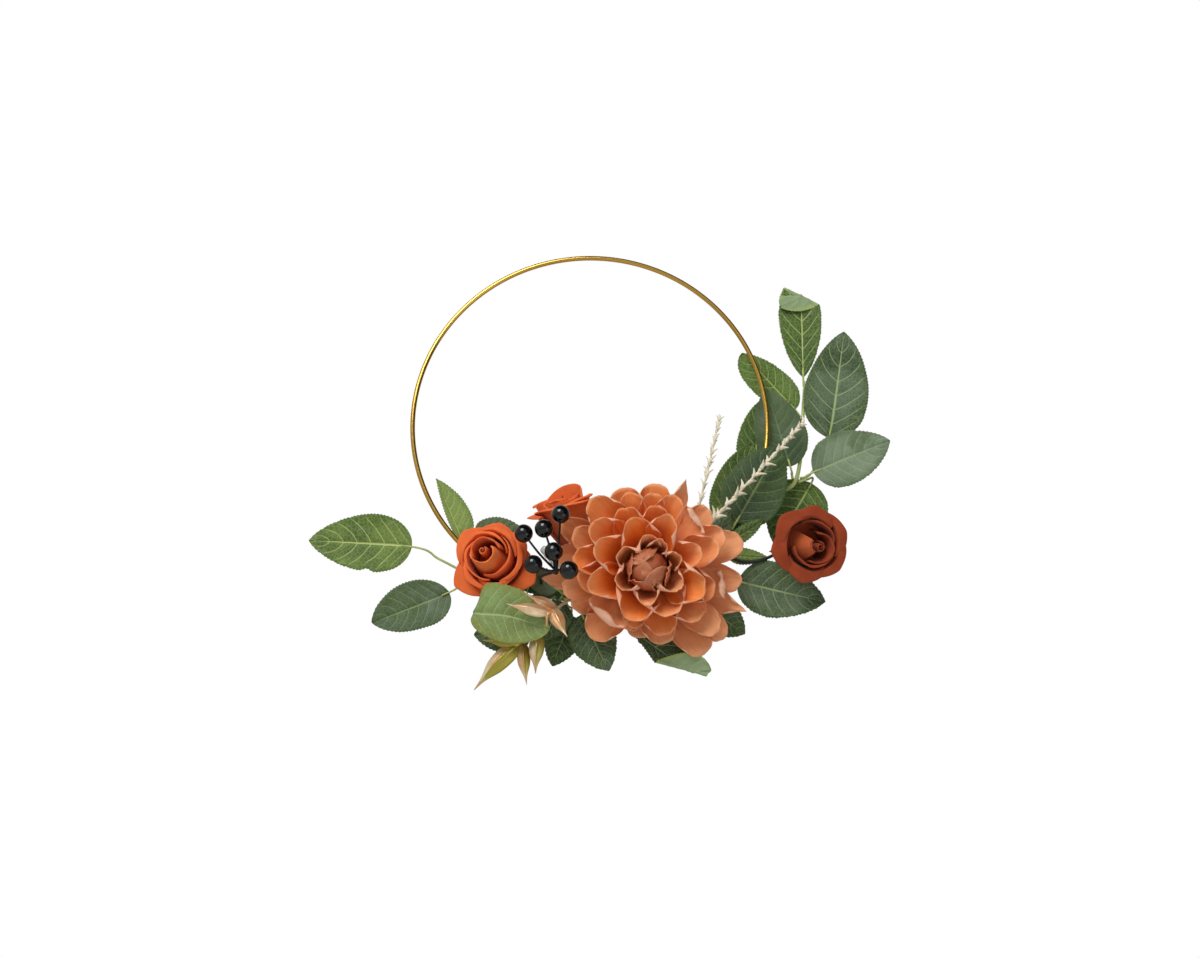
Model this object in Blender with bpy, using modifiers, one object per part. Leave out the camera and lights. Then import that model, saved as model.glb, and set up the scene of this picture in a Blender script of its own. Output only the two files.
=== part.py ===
"""Harvest door wreath: a thin metal hoop with artificial flowers and leaves bound to its lower part.

Units are metres, +Z is up, the wreath faces -Y and the origin is where it hangs, at the
inner top of the hoop's wire. Every stem is placed from its own point on the hoop, given as
the length along the hoop from its lowest point (minus is left, plus is right).
"""
import math

import bmesh
import bpy
from mathutils import Matrix, Vector

MM = 0.001

# Driving dimensions.
HOOP_OUTER = 0.300          # outside diameter of the hoop, a 12 inch floral hoop
HOOP_WIRE = 0.004           # diameter of the hoop's wire
TAPE_OUTER = 0.0096         # diameter over the stem tape that is wound on the wire
TAPE_START = -0.118         # where the tape begins and ends along the hoop
TAPE_END = 0.188
TAPE_CLEARANCE = 0.0006     # tape bore over the wire
TOUCH_GAP = 0.0003          # gap between pieces that touch
TIE_WIRE = 0.0008           # binding wire

STEM_RADIUS = 0.0012        # wire stem of a flower
SPRAY_STEM_RADIUS = 0.0013  # stem of a leaf spray
GRASS_STEM_RADIUS = 0.0008
HUB_CLEARANCE = 0.0010      # hole in a flower's layers over its stem
PETAL_THICKNESS = 0.0012
LEAF_THICKNESS = 0.0008
PETIOLE_WIDTH = 0.0018

DAHLIA_RADIUS = 0.081       # outermost petals, sideways
DAHLIA_FLATTEN = 0.86       # its height over its width
DAHLIA_BUD_RADIUS = 0.0165
DAHLIA_COLLAR = 0.01023     # how far the innermost petals stand out from the bud
CALYX_DEPTH = 0.003         # how far a flower's base reaches back along its stem
ROSE_RADIUS = 0.030         # foam rose
ROSE_HEIGHT = 0.036
ROSE_MIDDLE_SHARE = 0.70    # radius of a rose's middle petals over its outer ones
ROSE_LEFT_SEAT = (-12, -16, 10)
RUST_ROSE_RADIUS = 0.031
LOW_ROSE_RADIUS = 0.026
BERRY_RADIUS = 0.0068
BERRY_STALK_RADIUS = 0.0008

# Derived sizes.
HOOP_RADIUS = (HOOP_OUTER - HOOP_WIRE) / 2
HOOP_CENTRE_Z = -(HOOP_OUTER / 2 - HOOP_WIRE)
TAPE_RADIUS = TAPE_OUTER / 2

ARRANGEMENT = bpy.data.collections.new("harvest_wreath")
CUTTERS = bpy.data.collections.new("cutters")


def clear_scene():
    """Remove what the file already holds."""
    for item in list(bpy.data.objects):
        bpy.data.objects.remove(item, do_unlink=True)


def mm(x, y, z):
    """A point or an offset given in millimetres."""
    return Vector((x, y, z)) * MM


def on_hoop(arc):
    """Point on the hoop's centreline at a length along it from its lowest point."""
    angle = arc / HOOP_RADIUS
    return Vector((HOOP_RADIUS * math.sin(angle), 0.0, HOOP_CENTRE_Z - HOOP_RADIUS * math.cos(angle)))


def material(name, colour, roughness=0.7, metallic=0.0):
    """A plain Principled material, shared by the pieces that are made of it."""
    known = bpy.data.materials.get(name)
    if known:
        return known
    made = bpy.data.materials.new(name)
    made.use_nodes = True
    shader = made.node_tree.nodes["Principled BSDF"]
    shader.inputs["Base Color"].default_value = (*colour, 1.0)
    shader.inputs["Roughness"].default_value = roughness
    shader.inputs["Metallic"].default_value = metallic
    return made


def gold():
    return material("hoop_gold", (0.80, 0.58, 0.25), 0.2, 1.0)


def copper_gold():
    return material("pod_gold", (0.72, 0.50, 0.25), 0.3, 0.9)


def green_tape():
    return material("stem_tape", (0.16, 0.26, 0.10), 0.8)


def stem_green():
    return material("stem_green", (0.42, 0.50, 0.16), 0.5)


def black_wire():
    return material("black_wire", (0.02, 0.02, 0.02), 0.5)


def berry_black():
    return material("berry_black", (0.01, 0.01, 0.012), 0.15)


def orange_foam():
    return material("orange_foam", (0.72, 0.20, 0.06), 0.85)


def rust_foam():
    return material("rust_foam", (0.30, 0.07, 0.03), 0.85)


def dahlia_cloth():
    return material("dahlia_cloth", (0.80, 0.33, 0.14), 0.8)


def grass_cream():
    return material("grass_cream", (0.85, 0.78, 0.60), 0.8)


def clear_glue():
    return material("clear_glue", (0.85, 0.88, 0.82), 0.1)


def light_leaf():
    return material("leaf_light", (0.28, 0.45, 0.22), 0.6)


def bright_leaf():
    return material("leaf_bright", (0.16, 0.36, 0.10), 0.6)


def dark_leaf():
    return material("leaf_dark", (0.09, 0.20, 0.13), 0.6)


def add(item, finish, parent=None, collection=None):
    """Put an object in its collection, give it its finish and hang it on its parent."""
    (collection or ARRANGEMENT).objects.link(item)
    if item.data is not None:
        item.data.materials.append(finish)
    item.parent = parent
    return item


def station(name, arc):
    """Empty at a point of the hoop; a bunch bound there is placed from it, and bends about it."""
    empty = bpy.data.objects.new(name, None)
    empty.empty_display_size = 0.01
    empty.location = on_hoop(arc)
    ARRANGEMENT.objects.link(empty)
    return empty


def smooth_route(points, steps=4):
    """Points along a smooth curve through the given ones."""
    route = []
    last = len(points) - 1
    for index in range(last):
        before = points[max(index - 1, 0)]
        start = points[index]
        end = points[index + 1]
        after = points[min(index + 2, last)]
        for step in range(steps):
            t = step / steps
            route.append(0.5 * ((2 * start) + (end - before) * t
                                + (2 * before - 5 * start + 4 * end - after) * t ** 2
                                + (3 * start - before - 3 * end + after) * t ** 3))
    route.append(points[last].copy())
    return route


def wire(name, finish, parent, route, radius, widths=None, sides=1, collection=None):
    """Round wire or stem along a route; widths scale its radius point by point."""
    data = bpy.data.curves.new(name, "CURVE")
    data.dimensions = "3D"
    data.bevel_depth = radius
    data.bevel_resolution = sides
    data.use_fill_caps = True
    line = data.splines.new("POLY")
    line.points.add(len(route) - 1)
    for index, place in enumerate(route):
        line.points[index].co = (*place, 1.0)
        line.points[index].radius = widths[index] if widths else 1.0
    return add(bpy.data.objects.new(name, data), finish, parent, collection)


def shell(item, thickness, offset=0.0):
    """Give an open surface its thickness."""
    solidify = item.modifiers.new("thickness", "SOLIDIFY")
    solidify.thickness = thickness
    solidify.offset = offset
    solidify.use_even_offset = False
    return item


def smooth(item):
    item.data.shade_smooth()
    return item


def turned(name, finish, parent, profile, steps=12):
    """Turned solid about the local Z axis; the profile is (radius, height) pairs, top first."""
    mesh = bpy.data.meshes.new(name)
    form = bmesh.new()
    corners = [form.verts.new((radius, 0.0, height)) for radius, height in profile]
    closed = profile[0][0] > 0.0
    for index in range(len(corners) - 1):
        form.edges.new((corners[index], corners[index + 1]))
    if closed:
        form.edges.new((corners[-1], corners[0]))
    form.to_mesh(mesh)
    form.free()
    item = add(bpy.data.objects.new(name, mesh), finish, parent)
    screw = item.modifiers.new("turn", "SCREW")
    screw.steps = steps
    screw.render_steps = steps
    screw.use_merge_vertices = True
    screw.merge_threshold = 0.00001
    screw.use_smooth_shade = True
    return item


def blade_share(s):
    """Half-width of a rose leaf along its blade, from 0 at its base to 1 at its tip."""
    return math.sin(math.pi * min(max(s, 0.0), 1.0) ** 0.78) ** 0.75


def leaf(name, finish, parent, route, base_index, width, twist=0.0, cup=0.06, cells=7):
    """Cloth leaf with its stalk as one sheet: a stalk to route[base_index], then the blade."""
    stalk = smooth_route(route[:base_index + 1] + [route[base_index + 1]], 2)[:base_index * 2 + 1]
    blade = smooth_route([route[base_index - 1]] + route[base_index:], cells)[cells:]
    spine = stalk[:-1] + blade
    rows = len(spine) - 1
    form = bmesh.new()
    bmesh.ops.create_grid(form, x_segments=rows, y_segments=2, size=0.5)
    front = Vector((0.0, -1.0, 0.0))
    for corner in form.verts:
        row = round((corner.co.x + 0.5) * rows)
        across = corner.co.y * 2
        share = (row - len(stalk) + 1) / (len(blade) - 1)
        half = max(PETIOLE_WIDTH / 2, width / 2 * blade_share(share) if share > 0 else 0.0)
        ahead = spine[min(row + 1, rows)] - spine[max(row - 1, 0)]
        ahead.normalize()
        side = ahead.cross(front).normalized()
        lift = side.cross(ahead).normalized()
        turn = Matrix.Rotation(math.radians(twist) * max(share, 0.0), 3, ahead)
        offset = side * (across * half) + lift * (cup * half * across ** 2)
        corner.co = spine[row] + turn @ offset
    mesh = bpy.data.meshes.new(name)
    form.to_mesh(mesh)
    form.free()
    item = add(bpy.data.objects.new(name, mesh), finish, parent)
    shell(item, LEAF_THICKNESS)
    return smooth(item)


def whorl(name, finish, parent, radius, floor, rim, petals, notch, flatten=1.0, around=24, rings=3,
          hub=STEM_RADIUS + HUB_CLEARANCE, power=1.6):
    """One layer of petals: a lobed bowl about local Z with a hole for the stem."""
    form = bmesh.new()
    bmesh.ops.create_grid(form, x_segments=around, y_segments=rings, size=0.5)
    for corner in form.verts:
        angle = (corner.co.x + 0.5) * 2 * math.pi
        out = corner.co.y + 0.5
        lobe = 1.0 - notch * 0.5 * (1.0 - math.cos(petals * angle))
        reach = hub + (radius * lobe - hub) * out
        height = floor + (rim - floor) * (reach / radius) ** power
        oval = 1.0 - (1.0 - flatten) * out
        corner.co = (reach * math.cos(angle), reach * math.sin(angle) * oval, height)
    bmesh.ops.remove_doubles(form, verts=form.verts, dist=0.00001)
    mesh = bpy.data.meshes.new(name)
    form.to_mesh(mesh)
    form.free()
    item = add(bpy.data.objects.new(name, mesh), finish, parent)
    shell(item, PETAL_THICKNESS)
    return smooth(item)


def flower(name, parent, seat, facing):
    """Empty at a flower's base with its local Z along the way that the flower faces."""
    empty = bpy.data.objects.new(name, None)
    empty.empty_display_size = 0.02
    empty.parent = parent
    empty.location = seat
    empty.rotation_mode = "QUATERNION"
    empty.rotation_quaternion = facing.to_track_quat("Z", "Y")
    ARRANGEMENT.objects.link(empty)
    return empty


def stem_to(seat, facing, points, reach, into):
    """Route of a flower's stem: it bends from its last point onto the flower's axis, reach behind the
    seat, and runs straight through the middle of the layers."""
    root = points[-1]
    corner = seat - facing * reach
    axis_start = seat - facing * CALYX_DEPTH
    route = smooth_route(points)[:-1] if len(points) > 1 else []
    for step in range(7):
        t = step / 6
        route.append(root * (1 - t) ** 2 + corner * (2 * t * (1 - t)) + axis_start * t ** 2)
    return route + [seat + facing * into]


def make_hoop():
    """The hoop and the stem tape wound round its lower part."""
    bpy.ops.mesh.primitive_torus_add(
        major_radius=HOOP_RADIUS, minor_radius=HOOP_WIRE / 2, major_segments=64, minor_segments=8,
        location=(0.0, 0.0, HOOP_CENTRE_Z), rotation=(math.pi / 2, 0.0, 0.0))
    hoop = bpy.context.object
    for home in list(hoop.users_collection):
        home.objects.unlink(hoop)
    hoop.name = "hoop"
    smooth(add(hoop, gold()))

    turns = 26
    route = [on_hoop(TAPE_START + (TAPE_END - TAPE_START) * step / turns) for step in range(turns + 1)]
    tape = wire("tape_wrap", green_tape(), None, route, TAPE_RADIUS, sides=2)
    tape.data.use_fill_caps = False
    shell(tape, TAPE_RADIUS - HOOP_WIRE / 2 - TAPE_CLEARANCE, -1.0)

    for number, arc in enumerate((-0.050, 0.072), start=1):
        angle = arc / HOOP_RADIUS
        bpy.ops.mesh.primitive_torus_add(
            major_radius=TAPE_RADIUS + TOUCH_GAP + TIE_WIRE / 2, minor_radius=TIE_WIRE / 2,
            major_segments=16, minor_segments=6, location=on_hoop(arc),
            rotation=(0.0, math.pi / 2 - angle, 0.0))
        tie = bpy.context.object
        for home in list(tie.users_collection):
            home.objects.unlink(tie)
        tie.name = f"wire_tie_{number}"
        smooth(add(tie, green_tape()))


FRONT = -(TAPE_RADIUS / MM + TOUCH_GAP / MM)   # face of the tape that stems lie on, in millimetres
BACK = -FRONT


def make_dahlia():
    """The large cloth dahlia: petal layers, bud and calyx threaded on one stem."""
    place = station("dahlia_place", 0.036)
    facing = Vector((0.03, -0.97, -0.20)).normalized()
    seat = mm(9, -16, 15)
    route = stem_to(seat, facing, [mm(0, FRONT - 1.5, 0)], 0.0085, 0.020)
    wire("dahlia_stem", stem_green(), place, route, STEM_RADIUS)
    head = flower("dahlia_head", place, seat, facing)
    bore = STEM_RADIUS + HUB_CLEARANCE
    turned("dahlia_calyx", stem_green(), head,
           [(0.012, 0.0015), (0.009, -0.001), (0.005, -CALYX_DEPTH), (bore, -CALYX_DEPTH), (bore, 0.0012)])
    layers = ((DAHLIA_RADIUS, 0.005, 0.021), (DAHLIA_RADIUS * 0.87, 0.009, 0.032),
              (DAHLIA_RADIUS * 0.70, 0.013, 0.041), (DAHLIA_RADIUS * 0.53, 0.017, 0.049),
              (DAHLIA_BUD_RADIUS + DAHLIA_COLLAR, 0.021, 0.055))
    for number, (reach, floor, rim) in enumerate(layers, start=1):
        power = 2.2 if number == len(layers) else 1.6
        whorl(f"dahlia_whorl_{number}", dahlia_cloth(), head, reach, floor, rim, 8, 0.10,
              DAHLIA_FLATTEN, power=power)
    radius = DAHLIA_BUD_RADIUS
    turned("dahlia_bud", dahlia_cloth(), head,
           [(0.0, 0.062), (radius * 0.6, 0.060), (radius, 0.050), (radius, 0.042), (radius * 0.75, 0.033),
            (0.004, 0.0235), (0.0, 0.0235)])


def rose(name, finish, place, seat, facing, radius, height, middle=True):
    """Foam rose: an outer and a middle layer of petals round a rolled heart."""
    head = flower(f"{name}_head", place, seat, facing)
    whorl(f"{name}_outer", finish, head, radius, 0.0, height * 0.62, 5, 0.06, around=20, power=1.8)
    if middle:
        whorl(f"{name}_middle", finish, head, radius * ROSE_MIDDLE_SHARE, height * 0.14, height * 0.86, 4, 0.05,
              around=16, power=2.0)
    core = radius * 0.38
    turned(f"{name}_heart", finish, head,
           [(0.0, height), (core * 0.5, height * 0.98), (core, height * 0.80), (core, height * 0.55),
            (core * 0.6, height * 0.36), (0.0, height * 0.30)])
    return head


def make_roses():
    """Two orange foam roses, the rust rose on its black wire and the low rose under the dahlia."""
    into = 0.008
    place = station("rose_left_place", -0.064)
    facing = Vector((-0.10, -0.99, -0.07)).normalized()
    seat = mm(*ROSE_LEFT_SEAT)
    route = stem_to(seat, facing, [mm(0, FRONT - 1.4, 1)], 0.0090, into)
    wire("rose_left_stem", black_wire(), place, route, STEM_RADIUS)
    rose("rose_left", orange_foam(), place, seat, facing, ROSE_RADIUS, ROSE_HEIGHT)

    place = station("rose_rear_place", -0.012)
    facing = Vector((-0.25, -0.30, 0.92)).normalized()
    seat = mm(-1, -1, 44)
    route = stem_to(seat, facing, [mm(0, 0, BACK + 0.4)], 0.020, into)
    wire("rose_rear_stem", black_wire(), place, route, STEM_RADIUS)
    rose("rose_rear", orange_foam(), place, seat, facing, ROSE_RADIUS, ROSE_HEIGHT * 1.2, middle=False)

    place = station("rust_rose_bend", 0.116)
    facing = Vector((0.20, -0.95, -0.25)).normalized()
    seat = mm(66, -21, -3)
    points = [mm(1, FRONT - 1.5, -3), mm(8, -9, -10), mm(20, -12, -16), mm(34, -13, -15), mm(46, -11.5, -10),
              mm(56, -10, -5)]
    wire("rose_right_stem", black_wire(), place, stem_to(seat, facing, points, 0.012, into), STEM_RADIUS)
    head = rose("rose_right", rust_foam(), place, seat, facing, RUST_ROSE_RADIUS, ROSE_HEIGHT)
    whorl("rose_right_sepals", stem_green(), head, RUST_ROSE_RADIUS * 0.8, -0.0035, 0.004, 5, 0.45,
          around=20, power=1.5)

    place = station("rose_low_place", 0.062)
    facing = Vector((0.05, -0.10, -1.0)).normalized()
    seat = mm(1, 14, -26)
    route = stem_to(seat, facing, [mm(0, BACK + 1.5, -1)], 0.018, into)
    wire("rose_low_stem", black_wire(), place, route, STEM_RADIUS)
    head = flower("rose_low_seat", place, seat, facing)
    radius = LOW_ROSE_RADIUS
    bore = STEM_RADIUS + HUB_CLEARANCE
    turned("rose_low_head", rust_foam(), head,
           [(0.004, 0.031), (radius * 0.6, 0.030), (radius, 0.022), (radius * 0.92, 0.012),
            (radius * 0.6, 0.004), (bore, 0.0), (bore, into + 0.003), (0.004, into + 0.006)], steps=16)


def make_berries():
    """Black berries, each moulded on its own stalk, gathered in the end of one wire stem."""
    place = station("berry_bend", -0.040)
    knot = mm(14, -58, 4)
    route = smooth_route([mm(0.5, FRONT - 1.6, 1), mm(1, -20, 2), mm(1, -37, 4), knot * 0.5 + mm(2.5, -22, 2),
                          knot])
    widths = [1.0] * (len(route) - 2) + [3.6, 2.2]
    wire("berry_stem", black_wire(), place, route, 0.0012, widths)
    start = 0.0062
    spots = ((17, -60, 49), (4, -62, 37), (-12, -58, 34), (12, -69, 17), (-4, -64, 8), (24, -75, 1))
    for number, spot in enumerate(spots, start=1):
        centre = mm(*spot)
        along = (centre - knot).normalized()
        length = (centre - knot).length
        seat = flower(f"berry_{number}_seat", place, knot, along)
        radius = BERRY_RADIUS
        profile = [(0.0, length + radius)]
        for step in range(1, 6):
            angle = math.pi * step / 6
            profile.append((radius * math.sin(angle), length + radius * math.cos(angle)))
        profile += [(BERRY_STALK_RADIUS, length - radius * 0.99), (BERRY_STALK_RADIUS, start), (0.0, start)]
        turned(f"berry_{number}", berry_black(), seat, profile, steps=10)


def pod(name, base, tip, width, parent):
    """One pod of the gold spray: a pointed turned form, kept as a cutter for the union."""
    along = tip - base
    length = along.length
    seat = flower(f"{name}_seat", parent, base, along.normalized())
    half = width / 2
    profile = [(0.0, length), (half * 0.30, length * 0.85), (half * 0.85, length * 0.50),
               (half, length * 0.28), (half * 0.6, length * 0.08), (0.0007, 0.0), (0.0, 0.0)]
    item = turned(name, copper_gold(), seat, profile, steps=8)
    ARRANGEMENT.objects.unlink(item)
    CUTTERS.objects.link(item)
    return item


def as_mesh(item, name, collection):
    """Mesh copy of a curve object, with its caps welded, in place of the curve."""
    bpy.context.view_layer.update()
    graph = bpy.context.evaluated_depsgraph_get()
    mesh = bpy.data.meshes.new_from_object(item.evaluated_get(graph))
    form = bmesh.new()
    form.from_mesh(mesh)
    bmesh.ops.remove_doubles(form, verts=form.verts, dist=0.00001)
    form.to_mesh(mesh)
    form.free()
    made = bpy.data.objects.new(name, mesh)
    made.matrix_world = item.matrix_world
    collection.objects.link(made)
    bpy.data.objects.remove(item, do_unlink=True)
    return made


def make_gold_spray():
    """Moulded gold spray: pods on short branches of one stem, all one piece."""
    place = station("gold_place", -0.014)
    main = [mm(-1, FRONT - 1.4, -3), mm(-7, -16, -9), mm(-13, -32, -17), mm(-19, -47, -23), mm(-20, -42, -32),
            mm(-28, -34, -38), mm(-42, -28, -45)]
    spray = wire("spray_stem", copper_gold(), place, smooth_route(main, 3), 0.0011)
    spray = as_mesh(spray, "gold_spray", ARRANGEMENT)
    spray.data.materials.clear()
    spray.data.materials.append(copper_gold())
    pods = (("pod_1", (-41, -28, -44), (-76, -29, -80), 15), ("pod_2", (-38, -28, -43), (-35, -29, -76), 9),
            ("pod_3", (-26, -34, -37), (-28, -34, -68), 10), ("pod_4", (-38, -29, -42), (-70, -31, -41), 7),
            ("pod_5", (-18, -47, -22.5), (-50, -57, -17), 9), ("pod_6", (-12, -30, -16), (-35, -57, -9), 7),
            ("pod_7", (-15, -37, -18), (-3, -52, -42), 9))
    for name, base, tip, width in pods:
        item = pod(name, mm(*base), mm(*tip), width * MM, place)
        item.hide_render = True
        item.display_type = "WIRE"
        join = spray.modifiers.new(f"join_{name}", "BOOLEAN")
        join.operation = "UNION"
        join.object = item


def make_glue():
    """The set bead of clear glue between the left rose and the rear rose."""
    place = station("glue_place", -0.040)
    route = smooth_route([mm(1, -22, 31), mm(9, -21, 24), mm(18, -17, 13)], 3)
    wire("glue_bead", clear_glue(), place, route, 0.0045, [0.5, 0.9, 1.0, 1.0, 1.0, 0.8, 0.5])


def make_grass():
    """Two dried grass sprigs; the head of each is one solid of its spikelets' outer width."""
    place = station("grass_front_bend", 0.096)
    route = smooth_route([mm(0, FRONT - 1.1, 2), mm(2, -13, 14), mm(10, -19, 29), mm(50, -21, 72),
                          mm(86, -22, 112)])
    wire("grass_front", grass_cream(), place, route, GRASS_STEM_RADIUS,
         [1, 1, 1, 1, 1, 1, 1, 1.5, 3.2, 3.6, 3.8, 3.8, 3.6, 3.2, 2.8, 2.2, 1.2])
    place = station("grass_rear_bend", 0.088)
    route = smooth_route([mm(0, FRONT - 1.1, 2), mm(3, -8, 21), mm(5, -9, 41), mm(15, -11, 83),
                          mm(25, -10, 125)])
    wire("grass_rear", grass_cream(), place, route, GRASS_STEM_RADIUS,
         [1, 1, 1, 1, 1, 1, 1.5, 2.4, 3.0, 3.2, 3.2, 3.0, 2.8, 2.4, 2.0, 1.6, 0.9])


def make_left_spray():
    """Rose-leaf spray at the left: a bent stem with two leaves, and two leaves bound behind the hoop."""
    place = station("left_spray_bend", -0.078)
    wire("left_spray_stem", stem_green(), place,
         smooth_route([mm(-7, FRONT - 1.6, -2), mm(-14, -7.5, -4), mm(-25, -8, -2)]), SPRAY_STEM_RADIUS)
    leaf("leaf_left_upper", bright_leaf(), place,
         [mm(-27, -8, -1), mm(-48, -8, 10), mm(-70, -9, 20), mm(-153, -14, 24)], 2, 0.046, cup=0.10)
    leaf("leaf_left_lower", dark_leaf(), place,
         [mm(-27, -8, -4), mm(-33, -9, -12), mm(-39, -10, -18), mm(-99, -16, -44)], 2, 0.039, cup=0.10)

    place = station("leaf_left_tall_place", -0.108)
    leaf("leaf_left_tall", bright_leaf(), place,
         [mm(0, BACK + 0.9, 1), mm(-2, 8, 4), mm(-5, 10, 8), mm(-30, 17, 67)], 2, 0.026, twist=20)
    place = station("leaf_left_rear_place", -0.098)
    leaf("leaf_left_rear", dark_leaf(), place,
         [mm(0, BACK + 0.9, 2), mm(-3, 8, 11), mm(-4, 10, 19), mm(36, 14, 28)], 2, 0.030)


def make_lower_leaves():
    """Leaves that hang below the flowers."""
    place = station("leaf_front_place", -0.070)
    under_rose = ROSE_LEFT_SEAT[2] - ROSE_RADIUS * ROSE_MIDDLE_SHARE * 1000
    leaf("leaf_front_light", light_leaf(), place,
         [mm(0, FRONT - 1.0, -4), mm(-8, -9, -12), mm(-22, -22, under_rose - 13),
          mm(-26, -38, under_rose - 21), mm(26, -44, under_rose - 33)], 3, 0.044, cup=0.02)
    place = station("leaf_front_dark_place", -0.028)
    leaf("leaf_front_dark", dark_leaf(), place,
         [mm(0, FRONT - 1.0, -3), mm(-10, -8, -18), mm(-20, -10, -33), mm(-64, -15, -36)], 2, 0.028)
    place = station("leaf_low_1_place", -0.021)
    leaf("leaf_low_1", dark_leaf(), place,
         [mm(0, FRONT - 1.0, -3), mm(3, -5.3, -9), mm(6, -4.5, -17), mm(-9, -5, -55)], 2, 0.028, cup=0.0)
    place = station("leaf_low_2_place", -0.004)
    leaf("leaf_low_2", dark_leaf(), place,
         [mm(0, FRONT - 1.0, -3), mm(-1, -8.5, -9), mm(-2, -10, -16), mm(18, -15, -60)], 2, 0.034, cup=0.0)
    place = station("leaf_low_3_place", 0.014)
    leaf("leaf_low_3", dark_leaf(), place,
         [mm(0, FRONT - 1.0, -3), mm(5, -8, -14), mm(11, -10, -26), mm(74, -22, -70)], 2, 0.027, cup=0.0)
    place = station("leaf_right_1_place", 0.102)
    leaf("leaf_right_1", dark_leaf(), place,
         [mm(0, FRONT - 1.0, -3), mm(13, -7, -13), mm(26, -8, -22), mm(93, -14, -40)], 2, 0.043, cup=0.05)
    place = station("leaf_right_2_place", 0.080)
    leaf("leaf_right_2", dark_leaf(), place,
         [mm(0, FRONT - 1.0, -3), mm(8, -5.5, -18), mm(17, -3, -28), mm(49, 0, -51)], 2, 0.030)


def make_right_spray():
    """Rose-leaf spray at the right: one curved stem behind the hoop that carries seven leaves."""
    place = station("right_spray_bend", 0.180)
    wire("right_spray_stem", stem_green(), place,
         smooth_route([mm(1, BACK + 1.6, -1), mm(12, 7.5, -5), mm(22, 8, -4), mm(32, 8, 3), mm(38, 12, 28),
                       mm(40, 13, 53), mm(43, 14, 86)], 3), SPRAY_STEM_RADIUS)
    leaf("leaf_top", bright_leaf(), place,
         [mm(43.2, 14.2, 89), mm(42.8, 14.9, 93), mm(42.9, 15.6, 98), mm(45, 20, 179)], 2, 0.036)
    leaf("leaf_high_right", dark_leaf(), place,
         [mm(36, 9, 6), mm(48, 9, 12), mm(66, 11, 46), mm(80, 10, 136)], 2, 0.052, cup=0.04)
    leaf("leaf_far_right", dark_leaf(), place,
         [mm(34.5, 6, 2), mm(42, 5, 4), mm(51, 4, 10), mm(110, -4, 34)], 2, 0.045, cup=0.04)
    leaf("leaf_high_left", bright_leaf(), place,
         [mm(37.5, 11, 54), mm(36.5, 10, 59), mm(34, 9.5, 66), mm(-11, 9.5, 113)], 2, 0.036, cup=-0.04)
    leaf("leaf_mid", dark_leaf(), place,
         [mm(30, 8, 5), mm(29, 7.5, 10), mm(28, 7, 16), mm(10, 6.5, 80)], 2, 0.041, cup=-0.02)
    leaf("leaf_mid_rear", bright_leaf(), place,
         [mm(17, 10.4, -4), mm(11, 14, -1), mm(-1, 16, 10), mm(7, 20, 75)], 2, 0.031)
    leaf("leaf_behind_rose", bright_leaf(), place,
         [mm(35, 11, 4), mm(42, 13, 6), mm(46, 14, 3), mm(14, 15, -49)], 2, 0.044, cup=0.0)

    place = station("leaf_inner_front_place", 0.128)
    leaf("leaf_inner_front", dark_leaf(), place,
         [mm(1, FRONT - 1.0, 2), mm(4, -7, 5), mm(7, -8, 9), mm(43, -10, 71)], 2, 0.050, cup=-0.02)
    place = station("leaf_inner_rear_place", 0.112)
    leaf("leaf_inner_rear", bright_leaf(), place,
         [mm(0, BACK + 0.9, 3), mm(6, 8, 12), mm(11, 10, 21), mm(34, 11, 90)], 2, 0.040, cup=0.0)
    place = station("leaf_olive_place", 0.108)
    leaf("leaf_olive", light_leaf(), place,
         [mm(0, FRONT - 1.0, 3), mm(1, -10, 11), mm(2, -13, 19), mm(26, -14, 37)], 2, 0.018)


def main():
    clear_scene()
    for collection in (ARRANGEMENT, CUTTERS):
        bpy.context.scene.collection.children.link(collection)
    make_hoop()
    make_dahlia()
    make_roses()
    make_berries()
    make_gold_spray()
    make_glue()
    make_grass()
    make_left_spray()
    make_lower_leaves()
    make_right_spray()


main()
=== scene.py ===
"""Harvest door wreath: cloth flowers and leaves bound to a gold hoop, made around the wreath's frame.

Units are metres and +Z is up. The wreath faces -Y and hangs from the origin, at the inner top of
the hoop's wire. A bunch is placed from its own point on the hoop, given as the length along the
hoop from its lowest point (minus is left, plus is right), with offsets from it in millimetres.
"""
import math
import random

import bmesh
import bpy
from bpy.props import FloatProperty, FloatVectorProperty, IntProperty, PointerProperty
from mathutils import Matrix, Vector, noise


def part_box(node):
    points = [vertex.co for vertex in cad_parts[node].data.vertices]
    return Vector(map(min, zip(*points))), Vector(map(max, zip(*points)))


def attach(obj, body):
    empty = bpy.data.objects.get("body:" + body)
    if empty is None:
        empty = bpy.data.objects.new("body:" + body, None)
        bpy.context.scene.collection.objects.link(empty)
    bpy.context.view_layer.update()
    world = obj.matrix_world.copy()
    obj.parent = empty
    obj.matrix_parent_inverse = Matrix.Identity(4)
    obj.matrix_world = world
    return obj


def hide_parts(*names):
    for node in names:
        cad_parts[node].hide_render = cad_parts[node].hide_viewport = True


bl_info = {
    "name": "Harvest Wreath",
    "version": (1, 0, 0),
    "blender": (4, 5, 0),
    "location": "3D View > Sidebar > Wreath",
    "description": "Makes the wreath's flowers, leaves, berries and hoop around its frame",
    "category": "Add Mesh",
}

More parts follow.
